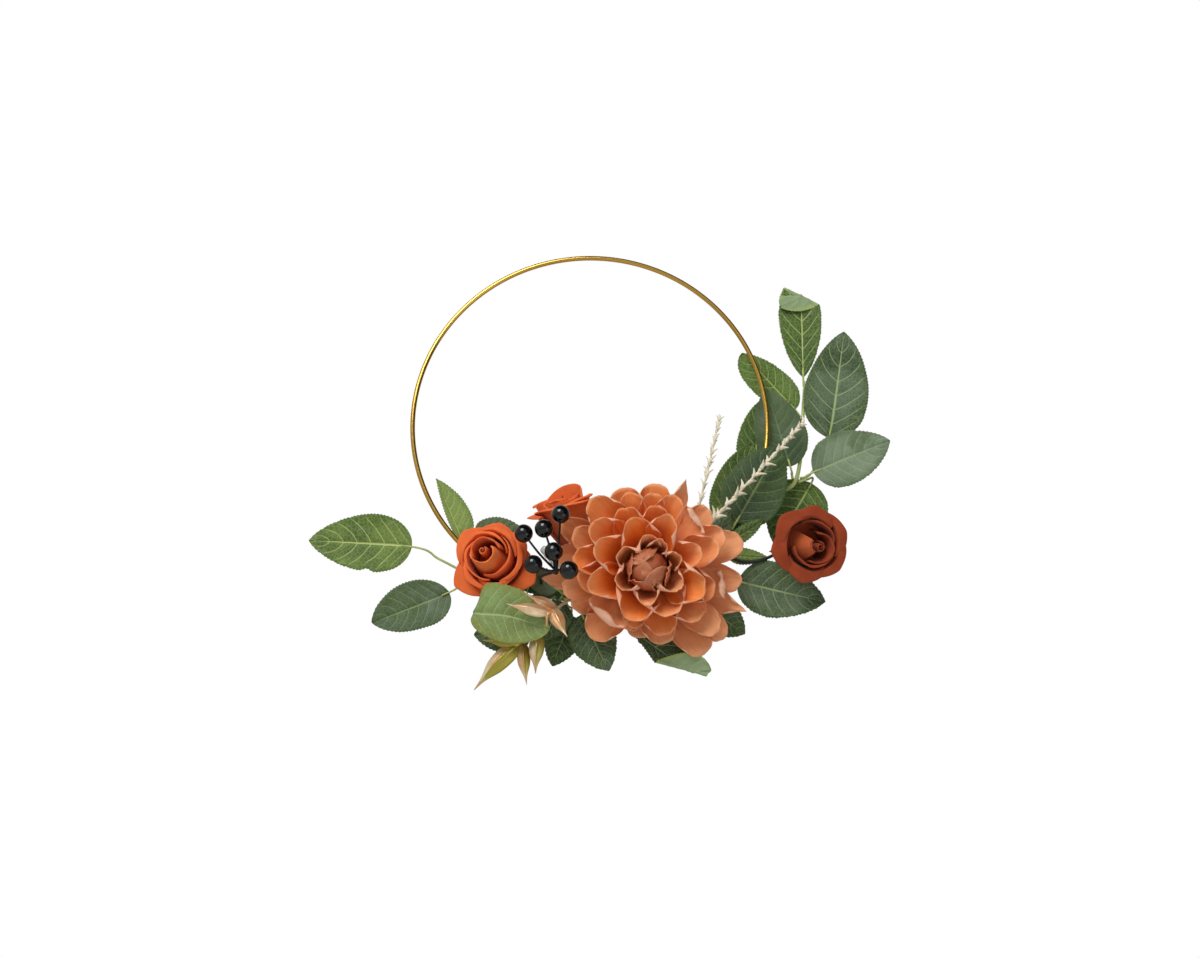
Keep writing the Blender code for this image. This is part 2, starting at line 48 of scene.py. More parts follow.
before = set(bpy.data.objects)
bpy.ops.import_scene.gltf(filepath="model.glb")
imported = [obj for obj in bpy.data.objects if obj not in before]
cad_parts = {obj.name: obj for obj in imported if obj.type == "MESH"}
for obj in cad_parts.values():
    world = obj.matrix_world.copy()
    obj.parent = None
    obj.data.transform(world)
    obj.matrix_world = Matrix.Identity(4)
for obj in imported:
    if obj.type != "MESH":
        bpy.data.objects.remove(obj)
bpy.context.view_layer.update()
MM = 0.001

# Sizes that come from the frame.
HOOP_LOW, HOOP_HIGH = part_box("hoop")
WIRE_RADIUS = (HOOP_HIGH.y - HOOP_LOW.y) / 2
HOOP_CENTRE = (HOOP_LOW + HOOP_HIGH) / 2
HOOP_RADIUS = (HOOP_HIGH.x - HOOP_LOW.x) / 2 - WIRE_RADIUS
TAPE_LOW, TAPE_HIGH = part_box("tape_wrap")
TAPE_RADIUS = (TAPE_HIGH.y - TAPE_LOW.y) / 2
FRONT = -(TAPE_RADIUS / MM + 0.3)
BACK = -FRONT


# ---------------------------------------------------------------- places and routes

def mm(x, y, z):
    """A point or an offset given in millimetres."""
    return Vector((x, y, z)) * MM


def on_hoop(arc):
    """Point on the hoop's centreline at a length along it from its lowest point."""
    angle = arc / HOOP_RADIUS
    return HOOP_CENTRE + Vector((math.sin(angle), 0.0, -math.cos(angle))) * HOOP_RADIUS


def from_hoop(arc, *offsets):
    """World points for offsets in millimetres from a point on the hoop."""
    origin = on_hoop(arc)
    return [origin + mm(*offset) for offset in offsets]


def head_at(arc, seat, facing):
    """Matrix of a flower: its seat, with local Z along the way that the flower faces."""
    turn = Vector(facing).normalized().to_track_quat("Z", "Y")
    return Matrix.LocRotScale(on_hoop(arc) + mm(*seat), turn, None)


def smooth_route(points, steps=4):
    """Points along a smooth curve through the given ones."""
    route = []
    last = len(points) - 1
    for index in range(last):
        before = points[max(index - 1, 0)]
        start = points[index]
        end = points[index + 1]
        after = points[min(index + 2, last)]
        for step in range(steps):
            t = step / steps
            route.append(0.5 * ((2 * start) + (end - before) * t
                                + (2 * before - 5 * start + 4 * end - after) * t ** 2
                                + (3 * start - before - 3 * end + after) * t ** 3))
    route.append(points[last].copy())
    return route


def evened(route, count):
    """A route laid out again as a number of equal steps."""
    reached = [0.0]
    for first, second in zip(route, route[1:]):
        reached.append(reached[-1] + (second - first).length)
    laid = []
    index = 0
    for step in range(count + 1):
        wanted = reached[-1] * step / count
        while index < len(route) - 2 and reached[index + 1] < wanted:
            index += 1
        share = (wanted - reached[index]) / (reached[index + 1] - reached[index])
        laid.append(route[index].lerp(route[index + 1], share))
    return laid


def ease(value, low, high):
    """Smooth step of value between low and high."""
    t = min(max((value - low) / (high - low), 0.0), 1.0)
    return t * t * (3 - 2 * t)


# ---------------------------------------------------------------- meshes

def new_form():
    """Empty mesh under construction, with a UV map and a tint for each vertex."""
    form = bmesh.new()
    form.loops.layers.uv.new("UVMap")
    form.verts.layers.float.new("tint")
    return form


def add_sheet(form, rows, columns, shape, tint=0.5):
    """Lay a grid through shape(along, across); along runs from 0 to 1 and across from -1 to 1."""
    uv = form.loops.layers.uv["UVMap"]
    shade = form.verts.layers.float["tint"]
    made = bmesh.ops.create_grid(form, x_segments=rows, y_segments=columns, size=0.5)["verts"]
    for corner in made:
        along = corner.co.x + 0.5
        across = corner.co.y * 2
        for loop in corner.link_loops:
            loop[uv].uv = (along, across * 0.5 + 0.5)
        corner[shade] = tint
        corner.co = shape(along, across)
    return made


def cross_axes(route):
    """A pair of axes across the route at each of its points, turning as little as they can."""
    axes = []
    side = None
    for index, place in enumerate(route):
        ahead = (route[min(index + 1, len(route) - 1)] - route[max(index - 1, 0)]).normalized()
        if side is None:
            side = ahead.orthogonal()
        side = (side - ahead * side.dot(ahead)).normalized()
        axes.append((side.copy(), ahead.cross(side)))
    return axes


def add_tube(form, route, reach, sides=14, tint=0.5, facing=None):
    """Tube along a route; reach(along, angle) is its radius. Both ends are filled.

    With facing, angle 0 and the middle of the map lie on the side nearest to that direction.
    """
    axes = cross_axes(route)
    rows = len(route) - 1
    roll = 0.0
    if facing is not None:
        roll = math.atan2(facing.dot(axes[rows // 2][1]), facing.dot(axes[rows // 2][0]))

    def shape(along, across):
        index = round(along * rows)
        angle = math.pi * across
        side, up = axes[index]
        turned = angle + roll
        return route[index] + (side * math.cos(turned) + up * math.sin(turned)) * reach(along, angle)

    made = add_sheet(form, rows, sides, shape, tint)
    bmesh.ops.remove_doubles(form, verts=made, dist=1e-7)
    alive = [corner for corner in made if corner.is_valid]
    edges = list({edge for corner in alive for edge in corner.link_edges if edge.is_boundary})
    bmesh.ops.holes_fill(form, edges=edges)
    faces = list({face for corner in alive for face in corner.link_faces})
    bmesh.ops.recalc_face_normals(form, faces=faces)


def piece(name, form, finishes, body, stands_for):
    """Turn a mesh under construction into a visible piece that rides on a body."""
    mesh = bpy.data.meshes.new(name)
    form.to_mesh(mesh)
    form.free()
    mesh.shade_smooth()
    item = bpy.data.objects.new(name, mesh)
    bpy.context.scene.collection.objects.link(item)
    for finish in finishes:
        mesh.materials.append(finish)
    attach(item, body)
    if stands_for:
        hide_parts(*stands_for)
    return item


def thicken(item, thickness, soften=0):
    """Give sheets their thickness: material 1 is the underside and material 2 the cut edge."""
    solidify = item.modifiers.new("thickness", "SOLIDIFY")
    solidify.thickness = thickness
    solidify.offset = -1.0
    solidify.use_even_offset = False
    solidify.material_offset = 1
    solidify.material_offset_rim = 2
    if soften:
        subsurf = item.modifiers.new("soften", "SUBSURF")
        subsurf.levels = soften
        subsurf.render_levels = soften


def dress(node, *finishes):
    """Give a frame node that stays in sight its finish."""
    for slot, finish in zip(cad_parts[node].material_slots, finishes * 8):
        slot.material = finish


# ---------------------------------------------------------------- shader tools

def feed(tree, socket, value):
    """Link a socket to another one, or set it to a value."""
    if value is None:
        return
    if isinstance(value, bpy.types.NodeSocket):
        tree.links.new(value, socket)
    else:
        socket.default_value = value


def calc(tree, operation, *values):
    """Math node fed with sockets or numbers."""
    item = tree.nodes.new("ShaderNodeMath")
    item.operation = operation
    for socket, value in zip(item.inputs, values):
        feed(tree, socket, value)
    return item.outputs[0]


def remap(tree, value, low, high, to_low, to_high):
    """Smooth map of a value from one range to another."""
    item = tree.nodes.new("ShaderNodeMapRange")
    item.interpolation_type = "SMOOTHSTEP"
    for socket, given in zip(item.inputs, (value, low, high, to_low, to_high)):
        feed(tree, socket, given)
    return item.outputs[0]


def blend_colours(tree, share, first, second):
    """Mix of two colours."""
    item = tree.nodes.new("ShaderNodeMix")
    item.data_type = "RGBA"
    feed(tree, item.inputs[0], share)
    for socket, value in zip(item.inputs[6:8], (first, second)):
        feed(tree, socket, value if isinstance(value, bpy.types.NodeSocket) else (*value, 1.0))
    return item.outputs[2]


def noise_at(tree, coordinates, scale, detail=2.0, roughness=0.5):
    """Noise texture value."""
    item = tree.nodes.new("ShaderNodeTexNoise")
    feed(tree, item.inputs["Vector"], coordinates)
    item.inputs["Scale"].default_value = scale
    item.inputs["Detail"].default_value = detail
    item.inputs["Roughness"].default_value = roughness
    return item.outputs[0]


def stretched(tree, coordinates, x, y):
    """Coordinates scaled along the first two axes."""
    item = tree.nodes.new("ShaderNodeVectorMath")
    item.operation = "MULTIPLY"
    feed(tree, item.inputs[0], coordinates)
    item.inputs[1].default_value = (x, y, 1.0)
    return item.outputs[0]


def new_group(name, inputs, outputs):
    """Shader node group with float inputs (label, default) and float outputs."""
    tree = bpy.data.node_groups.new(name, "ShaderNodeTree")
    for label, default in inputs:
        socket = tree.interface.new_socket(label, in_out="INPUT", socket_type="NodeSocketFloat")
        socket.default_value = default
    for label in outputs:
        tree.interface.new_socket(label, in_out="OUTPUT", socket_type="NodeSocketFloat")
    source = tree.nodes.new("NodeGroupInput")
    sink = tree.nodes.new("NodeGroupOutput")
    return tree, source.outputs, sink.inputs


def use_group(tree, group, **values):
    """Place a node group with its own values and return its outputs."""
    item = tree.nodes.new("ShaderNodeGroup")
    item.node_tree = group
    for label, value in values.items():
        feed(tree, item.inputs[label.replace("_", " ")], value)
    return item.outputs


def sheet_place(tree):
    """Along and across (0 at the middle line, 1 at the edge) from a sheet's UV map."""
    uv = tree.nodes.new("ShaderNodeUVMap")
    uv.uv_map = "UVMap"
    split = tree.nodes.new("ShaderNodeSeparateXYZ")
    tree.links.new(uv.outputs[0], split.inputs[0])
    centred = calc(tree, "SUBTRACT", calc(tree, "MULTIPLY", split.outputs[1], 2.0), 1.0)
    return uv.outputs[0], split.outputs[0], calc(tree, "ABSOLUTE", centred)


# Side veins on a leaf: how many, how far they sweep towards the tip, and how sharply they bend. The
# print and the relief share them.
VEIN_COUNT = 7.5
VEIN_SWEEP = 0.23
VEIN_BEND = 1.35


def veins_group():
    """Midrib and side veins that sweep towards the tip of a leaf, from its UV map."""
    known = bpy.data.node_groups.get("leaf_veins")
    if known:
        return known
    tree, source, sink = new_group("leaf_veins", (("Count", 9.0), ("Sweep", 0.2), ("Width", 0.1)),
                                   ("Veins", "Midrib"))
    _, along, across = sheet_place(tree)
    sweep = calc(tree, "MULTIPLY", calc(tree, "POWER", across, VEIN_BEND), source["Sweep"])
    phase = calc(tree, "MULTIPLY", calc(tree, "SUBTRACT", along, sweep), source["Count"])
    away = calc(tree, "MULTIPLY", calc(tree, "PINGPONG", phase, 0.5), 2.0)
    side = remap(tree, away, 0.0, source["Width"], 1.0, 0.0)
    side = calc(tree, "MULTIPLY", side, remap(tree, across, 0.72, 0.98, 1.0, 0.0))
    side = calc(tree, "MULTIPLY", side, remap(tree, along, 0.0, 0.05, 0.0, 1.0))
    taper = calc(tree, "SUBTRACT", 0.075, calc(tree, "MULTIPLY", along, 0.05))
    midrib = remap(tree, across, 0.0, taper, 1.0, 0.0)
    tree.links.new(side, sink["Veins"])
    tree.links.new(midrib, sink["Midrib"])
    return tree


def net_group():
    """Fine net of small veins in a leaf's print."""
    known = bpy.data.node_groups.get("fine_net")
    if known:
        return known
    tree, source, sink = new_group("fine_net", (("Cells", 300.0),), ("Net",))
    place = tree.nodes.new("ShaderNodeTexCoord")
    cells = tree.nodes.new("ShaderNodeTexVoronoi")
    cells.feature = "DISTANCE_TO_EDGE"
    tree.links.new(place.outputs["Object"], cells.inputs["Vector"])
    tree.links.new(source["Cells"], cells.inputs["Scale"])
    tree.links.new(remap(tree, cells.outputs["Distance"], 0.0, 0.12, 1.0, 0.0), sink["Net"])
    return tree


def weave_group():
    """Fine woven grain of printed cloth, as a height."""
    known = bpy.data.node_groups.get("cloth_weave")
    if known:
        return known
    tree, source, sink = new_group("cloth_weave", (("Threads", 1400.0),), ("Height",))
    place = tree.nodes.new("ShaderNodeTexCoord")
    waves = []
    for direction in ("X", "Z"):
        wave = tree.nodes.new("ShaderNodeTexWave")
        wave.bands_direction = direction
        wave.inputs["Distortion"].default_value = 0.6
        tree.links.new(place.outputs["Object"], wave.inputs["Vector"])
        tree.links.new(source["Threads"], wave.inputs["Scale"])
        waves.append(wave.outputs[1])
    tree.links.new(calc(tree, "MULTIPLY", calc(tree, "ADD", *waves), 0.5), sink["Height"])
    return tree


def mottle_group():
    """Slow, soft variation over a piece, between 0 and 1."""
    known = bpy.data.node_groups.get("soft_mottle")
    if known:
        return known
    tree, source, sink = new_group("soft_mottle", (("Size", 45.0), ("Contrast", 1.0)), ("Value",))
    place = tree.nodes.new("ShaderNodeTexCoord")
    cloud = tree.nodes.new("ShaderNodeTexNoise")
    cloud.inputs["Detail"].default_value = 3.0
    tree.links.new(place.outputs["Object"], cloud.inputs["Vector"])
    tree.links.new(source["Size"], cloud.inputs["Scale"])
    centred = calc(tree, "SUBTRACT", cloud.outputs[0], 0.5)
    spread = calc(tree, "MULTIPLY", calc(tree, "MULTIPLY", centred, 3.0), source["Contrast"])
    tree.links.new(remap(tree, calc(tree, "ADD", spread, 0.5), 0.0, 1.0, 0.0, 1.0), sink["Value"])
    return tree


def new_finish(name, **constants):
    """Material with a Principled shader; constants are set on its own sockets."""
    made = bpy.data.materials.new(name)
    made.use_nodes = True
    tree = made.node_tree
    shader = tree.nodes["Principled BSDF"]
    for label, value in constants.items():
        shader.inputs[label.replace("_", " ")].default_value = value
    return made, tree, shader


def bump(tree, shader, height, strength=0.3, distance=0.0004):
    """Feed a height to the shader's normal."""
    item = tree.nodes.new("ShaderNodeBump")
    item.inputs["Strength"].default_value = strength
    item.inputs["Distance"].default_value = distance
    tree.links.new(height, item.inputs["Height"])
    tree.links.new(item.outputs[0], shader.inputs["Normal"])


def tint_of(tree):
    """The tint stored on a piece's vertices."""
    item = tree.nodes.new("ShaderNodeAttribute")
    item.attribute_name = "tint"
    return item.outputs["Fac"]


# ---------------------------------------------------------------- finishes

def finish(name, maker, *values):
    """A material by name, made the first time that it is asked for."""
    return bpy.data.materials.get(name) or maker(name, *values)


def make_leaf_face(name, deep, pale, vein, strength):
    """Printed leaf cloth: two greens by tint and mottle, veins and a fine net. The tint is partly the leaf's
    own tone and partly painted light: the paler green stands in for a lit sheen.
    """
    made, tree, shader = new_finish(name, Roughness=0.55, Sheen_Weight=0.25, Sheen_Roughness=0.5)
    shader.inputs["Specular IOR Level"].default_value = 0.35
    across = sheet_place(tree)[2]
    cloud = use_group(tree, mottle_group(), Size=38.0, Contrast=0.9)["Value"]
    veins = use_group(tree, veins_group(), Count=VEIN_COUNT, Sweep=VEIN_SWEEP, Width=0.13)
    net = use_group(tree, net_group(), Cells=330.0)["Net"]
    shift = calc(tree, "MULTIPLY", calc(tree, "SUBTRACT", cloud, 0.5), 0.5)
    level = calc(tree, "ADD", tint_of(tree), shift)
    green = blend_colours(tree, calc(tree, "MINIMUM", calc(tree, "MAXIMUM", level, 0.0), 1.0), deep, pale)
    patch = use_group(tree, mottle_group(), Size=23.0, Contrast=1.4)["Value"]
    rim = calc(tree, "MAXIMUM", remap(tree, across, 0.6, 1.0, 0.0, 0.5),
               remap(tree, patch, 0.55, 1.0, 0.0, 0.55))
    green = blend_colours(tree, rim, green, (deep[0] * 1.8, deep[1] * 1.6, deep[2] * 0.7))
    green = blend_colours(tree, calc(tree, "MULTIPLY", net, 0.22 * strength), green, vein)
    lines = calc(tree, "MAXIMUM", calc(tree, "MULTIPLY", veins["Veins"], 0.75), veins["Midrib"])
    green = blend_colours(tree, calc(tree, "MULTIPLY", lines, strength), green, vein)
    tree.links.new(green, shader.inputs["Base Color"])
    weave = use_group(tree, weave_group(), Threads=1500.0)["Height"]
    height = calc(tree, "ADD", calc(tree, "MULTIPLY", lines, -1.0), calc(tree, "MULTIPLY", weave, 0.35))
    bump(tree, shader, height, 0.5, 0.00025)
    return made


def leaf_finishes(kind, vein=1.0):
    """Face, underside and edge of a kind of leaf; vein is how clearly its veins show."""
    kinds = {
        "dark": ((0.030, 0.064, 0.018), (0.200, 0.275, 0.172), (0.40, 0.52, 0.22), 0.75),
        "bright": ((0.042, 0.095, 0.008), (0.205, 0.300, 0.055), (0.55, 0.66, 0.22), 0.80),
        "light": ((0.120, 0.140, 0.010), (0.260, 0.390, 0.135), (0.50, 0.62, 0.28), 0.70),
    }
    deep, pale, line, strength = kinds[kind]
    level = round(vein * 10)
    face = finish(f"leaf_{kind}_face_{level}", make_leaf_face, deep, pale, line, strength * vein)
    back = finish("leaf_underside", make_leaf_face, (0.26, 0.36, 0.17), (0.42, 0.52, 0.30),
                  (0.50, 0.60, 0.36), 0.4)
    return face, back, face


def make_petal_face(name, inner, outer, throat_shade):
    """Petal cloth: deep at the base in painted shade, paler to the tip, with fine lines along it."""
    made, tree, shader = new_finish(name, Roughness=0.55)
    shader.inputs["Specular IOR Level"].default_value = 0.3
    uv, along, across = sheet_place(tree)
    tint = tint_of(tree)
    cloud = use_group(tree, mottle_group(), Size=60.0, Contrast=0.8)["Value"]
    shift = calc(tree, "MULTIPLY", calc(tree, "SUBTRACT", cloud, 0.5), 0.35)
    level = calc(tree, "ADD", calc(tree, "ADD", tint, shift), remap(tree, along, 0.45, 1.0, -0.15, 0.30))
    hue = blend_colours(tree, calc(tree, "MINIMUM", calc(tree, "MAXIMUM", level, 0.0), 1.0), inner, outer)
    streaks = noise_at(tree, stretched(tree, uv, 2.0, 34.0), 1.0, 2.0)
    # The fine lines along the petal take the same deep colour as the painted shade.
    hue = blend_colours(tree, remap(tree, streaks, 0.4, 0.75, 0.0, 0.22), hue, throat_shade)
    # Painted shade: each petal darkens towards its base.
    hue = blend_colours(tree, remap(tree, along, 0.08, 0.66, 1.0, 0.0), hue, throat_shade)
    edge = calc(tree, "MAXIMUM", remap(tree, across, 0.86, 1.0, 0.0, 1.0),
                remap(tree, along, 0.955, 1.0, 0.0, 1.0))
    hue = blend_colours(tree, calc(tree, "MULTIPLY", edge, 0.2), hue, (0.92, 0.50, 0.32))
    tree.links.new(hue, shader.inputs["Base Color"])
    weave = use_group(tree, weave_group(), Threads=1700.0)["Height"]
    height = calc(tree, "ADD", streaks, calc(tree, "MULTIPLY", weave, 0.3))
    bump(tree, shader, height, 0.35, 0.0003)
    return made


def make_cut_edge(name, colour):
    """Pale, slightly frayed cut edge of cloth."""
    made, tree, shader = new_finish(name, Roughness=0.8)
    place = tree.nodes.new("ShaderNodeTexCoord").outputs["Object"]
    grain = noise_at(tree, place, 900.0, 1.0)
    darker = tuple(value * 0.72 for value in colour)
    tree.links.new(blend_colours(tree, remap(tree, grain, 0.35, 0.7, 0.0, 1.0), colour, darker),
                   shader.inputs["Base Color"])
    return made


def petal_finishes():
    """Face, back and cut edge of the dahlia's petals."""
    look = bpy.context.scene.wreath_dahlia
    inner, outer = tuple(look.inner_colour), tuple(look.outer_colour)
    # The last colour of each finish is the painted shade at the petals' base.
    face = finish("petal_face", make_petal_face, inner, outer, (0.47, 0.022, 0.002))
    pale = (outer[0], outer[1] * 1.25, outer[2] * 1.8)
    back = finish("petal_back", make_petal_face, (0.93, 0.42, 0.25), pale, (0.86, 0.34, 0.20))
    return face, back, finish("petal_edge", make_cut_edge, (0.92, 0.36, 0.17))


def make_foam(name, colour, deep):
    """Foam sheet: velvety, with fine pores and a slight change of shade; painted shade makes it deeper low in
    the flower, and painted light makes sheets with a high tint paler.
    """
    made, tree, shader = new_finish(name, Roughness=0.82, Sheen_Weight=0.10, Sheen_Roughness=0.5)
    shader.inputs["Specular IOR Level"].default_value = 0.2
    shader.inputs["Sheen Tint"].default_value = (1.0, 0.75, 0.6, 1.0)
    place = tree.nodes.new("ShaderNodeTexCoord").outputs["Object"]
    cloud = use_group(tree, mottle_group(), Size=70.0, Contrast=0.8)["Value"]
    pores = noise_at(tree, place, 1500.0, 2.0, 0.6)
    hue = blend_colours(tree, calc(tree, "MULTIPLY", cloud, 0.55), colour, deep)
    hue = blend_colours(tree, remap(tree, pores, 0.35, 0.6, 0.25, 0.0), hue, deep)
    # Painted light: sheets with a tint above 0.5 turn towards a paler, lit colour.
    lit = (min(colour[0] * 1.7, 1.0), colour[1] * 2.3, colour[2] * 2.2)
    hue = blend_colours(tree, remap(tree, tint_of(tree), 0.5, 1.2, 0.0, 0.55), hue, lit)
    # Painted shade: the low part of each sheet darkens towards a deep throat colour, less where the tint is
    # high.
    low = remap(tree, sheet_place(tree)[1], 0.12, 0.58, 0.75, 0.0)
    low = calc(tree, "MULTIPLY", low, calc(tree, "SUBTRACT", 1.5, tint_of(tree)))
    throat_shade = (deep[0] * 0.35, deep[1] * 0.25, deep[2] * 0.25)
    hue = blend_colours(tree, calc(tree, "MINIMUM", low, 0.9), hue, throat_shade)
    tree.links.new(hue, shader.inputs["Base Color"])
    bump(tree, shader, pores, 0.3, 0.0002)
    return made


def foam(kind):
    """Foam sheet in orange or rust."""
    look = bpy.context.scene.wreath_roses
    colour = tuple(look.orange if kind == "orange" else look.rust)
    deep = (colour[0] * 0.72, colour[1] * 0.52, colour[2] * 0.5)
    return finish(f"{kind}_foam_sheet", make_foam, colour, deep)


def make_gold_wire(name, colour):
    """Plated wire with a little tarnish."""
    made, tree, shader = new_finish(name, Metallic=1.0)
    place = tree.nodes.new("ShaderNodeTexCoord").outputs["Object"]
    smudge = noise_at(tree, place, 14.0, 2.0)
    darker = (colour[0] * 0.92, colour[1] * 0.88, colour[2] * 0.80)
    tree.links.new(blend_colours(tree, remap(tree, smudge, 0.45, 0.75, 0.0, 0.7), colour, darker),
                   shader.inputs["Base Color"])
    tree.links.new(remap(tree, smudge, 0.3, 0.7, 0.14, 0.20), shader.inputs["Roughness"])
    return made


def make_pod_gold(name):
    """Gold paint over moulded pods, turning to copper and olive in patches, with pale streaks along them that
    are painted highlights.
    """
    made, tree, shader = new_finish(name, Metallic=0.65)
    uv, along, _ = sheet_place(tree)
    cloud = use_group(tree, mottle_group(), Size=55.0, Contrast=1.3)["Value"]
    turn = tree.nodes.new("ShaderNodeSeparateXYZ")
    tree.links.new(uv, turn.inputs[0])
    warm = blend_colours(tree, cloud, (1.0, 0.80, 0.52), (0.80, 0.46, 0.22))
    green = calc(tree, "MULTIPLY", tint_of(tree), remap(tree, along, 0.45, 1.0, 1.0, 0.3))
    half = remap(tree, turn.outputs[1], 0.48, 0.53, 1.5, 0.1)
    hue = blend_colours(tree, calc(tree, "MINIMUM", calc(tree, "MULTIPLY", green, half), 1.0), warm,
                        (0.44, 0.38, 0.060))
    streaks = noise_at(tree, stretched(tree, uv, 3.0, 30.0), 1.0, 2.0)
    # Painted highlight: where the streaks run high, the paint turns pale.
    hue = blend_colours(tree, remap(tree, streaks, 0.58, 0.75, 0.0, 0.35), hue, (1.0, 0.90, 0.70))
    tree.links.new(hue, shader.inputs["Base Color"])
    tree.links.new(remap(tree, streaks, 0.3, 0.7, 0.42, 0.30), shader.inputs["Roughness"])
    bump(tree, shader, streaks, 0.3, 0.0003)
    return made


def make_berry(name):
    """Glossy black berry with faint dust."""
    made, tree, shader = new_finish(name, Coat_Weight=0.3, Coat_Roughness=0.06)
    shader.inputs["Specular IOR Level"].default_value = 0.4
    place = tree.nodes.new("ShaderNodeTexCoord").outputs["Object"]
    dust = noise_at(tree, place, 420.0, 3.0, 0.6)
    tree.links.new(blend_colours(tree, remap(tree, dust, 0.6, 0.8, 0.0, 0.4), (0.0015, 0.002, 0.0025),
                                 (0.015, 0.015, 0.018)), shader.inputs["Base Color"])
    tree.links.new(remap(tree, dust, 0.4, 0.7, 0.08, 0.2), shader.inputs["Roughness"])
    return made


def make_stem(name, colour, darker, roughness):
    """Moulded stem: two shades along it and small bumps."""
    made, tree, shader = new_finish(name, Roughness=roughness)
    place = tree.nodes.new("ShaderNodeTexCoord").outputs["Object"]
    cloud = use_group(tree, mottle_group(), Size=90.0, Contrast=1.0)["Value"]
    tree.links.new(blend_colours(tree, cloud, colour, darker), shader.inputs["Base Color"])
    bump(tree, shader, noise_at(tree, place, 700.0, 2.0), 0.3, 0.0002)
    return made


def green_stem():
    return finish("stem_plastic", make_stem, (0.52, 0.58, 0.20), (0.34, 0.42, 0.12), 0.45)


def black_stem():
    return finish("black_wire_cover", make_stem, (0.006, 0.007, 0.007), (0.016, 0.018, 0.016), 0.45)


def tape_cloth():
    return finish("tape_paper", make_stem, (0.045, 0.10, 0.030), (0.025, 0.055, 0.018), 0.85)


def make_glass(name):
    """Set bead of clear glue."""
    made, tree, shader = new_finish(name, Transmission_Weight=0.65, IOR=1.42)
    shader.inputs["Base Color"].default_value = (0.80, 0.92, 0.88, 1.0)
    place = tree.nodes.new("ShaderNodeTexCoord").outputs["Object"]
    cloud = noise_at(tree, place, 180.0, 2.0)
    tree.links.new(remap(tree, cloud, 0.4, 0.7, 0.03, 0.16), shader.inputs["Roughness"])
    bump(tree, shader, cloud, 0.3, 0.0008)
    return made


def make_grass_finish(name):
    """Dried grass: cream, a little browner in a fine grain."""
    made, tree, shader = new_finish(name, Roughness=0.8, Sheen_Weight=0.2)
    place = tree.nodes.new("ShaderNodeTexCoord").outputs["Object"]
    grain = noise_at(tree, place, 260.0, 3.0, 0.6)
    tree.links.new(blend_colours(tree, remap(tree, grain, 0.4, 0.7, 0.0, 0.6), (0.90, 0.83, 0.64),
                                 (0.70, 0.58, 0.36)), shader.inputs["Base Color"])
    bump(tree, shader, grain, 0.4, 0.0004)
    return made


# ---------------------------------------------------------------- hoop

class HoopSettings(bpy.types.PropertyGroup):
    gold: FloatVectorProperty(name="Gold", description="Colour of the plated wire", subtype="COLOR",
                              size=3, min=0.0, max=1.0, default=(0.70, 0.42, 0.085))
    tape_pitch: FloatProperty(name="Tape Pitch", description="Distance between turns of the stem tape",
                              default=0.009, min=0.004, max=0.03, unit="LENGTH")
    tape_start: FloatProperty(name="Tape Start", description="Where the tape begins along the hoop",
                              default=-0.118, unit="LENGTH")
    tape_end: FloatProperty(name="Tape End", description="Where the tape ends along the hoop",
                            default=0.188, unit="LENGTH")


class WREATH_OT_hoop(bpy.types.Operator):
    """Make the gold hoop and the stem tape wound round its lower part"""
    bl_idname = "wreath.hoop"
    bl_label = "Hoop and Tape"

    def execute(self, context):
        look = context.scene.wreath_hoop
        form = new_form()
        turns = 240
        route = [on_hoop(2 * math.pi * HOOP_RADIUS * step / turns) for step in range(turns + 1)]

        def ring(along, across):
            centre = route[round(along * turns)]
            out = (centre - HOOP_CENTRE).normalized()
            angle = math.pi * across
            return centre + (out * math.cos(angle) - Vector((0, 1, 0)) * math.sin(angle)) * WIRE_RADIUS

        add_sheet(form, turns, 24, ring)
        bmesh.ops.remove_doubles(form, verts=form.verts, dist=1e-6)
        bmesh.ops.recalc_face_normals(form, faces=form.faces)
        gold = finish("gold_wire", make_gold_wire, tuple(look.gold))
        piece("hoop_wire", form, [gold], "bound_arrangement", ("hoop",))

        form = new_form()
        length = look.tape_end - look.tape_start
        steps = 360
        route = [on_hoop(look.tape_start + length * step / steps) for step in range(steps + 1)]

        def wound(along, angle):
            turn = (along * length / look.tape_pitch + angle / (2 * math.pi)) % 1.0
            crease = 0.00016 * noise.noise(Vector((along * 190, math.cos(angle) * 2, math.sin(angle) * 2)))
            return TAPE_RADIUS - 0.0007 + 0.0006 * turn + crease

        add_tube(form, route, wound, 24)
        piece("stem_tape", form, [tape_cloth()], "bound_arrangement", ("tape_wrap",))
        for number in (1, 2):
            dress(f"wire_tie_{number}", green_stem())
        return {"FINISHED"}


# ---------------------------------------------------------------- dahlia

class DahliaSettings(bpy.types.PropertyGroup):
    inner_colour: FloatVectorProperty(name="Inner Petals", description="Colour of the petals round the bud",
                                      subtype="COLOR", size=3, min=0.0, max=1.0, default=(1.0, 0.27, 0.035))
    outer_colour: FloatVectorProperty(name="Outer Petals", description="Colour of the outermost petals",
                                      subtype="COLOR", size=3, min=0.0, max=1.0, default=(0.95, 0.42, 0.19))
    cloth: FloatProperty(name="Cloth", description="Thickness of a petal's cloth", default=0.0005,
                         min=0.0002, max=0.002, unit="LENGTH")
    bud_radius: FloatProperty(name="Bud Radius", description="Radius of the closed bud", default=0.0160,
                              min=0.005, max=0.03, unit="LENGTH")
    crinkle: FloatProperty(name="Crinkle", description="How much the petals' rims wave", default=0.0015,
                           min=0.0, max=0.004, unit="LENGTH")
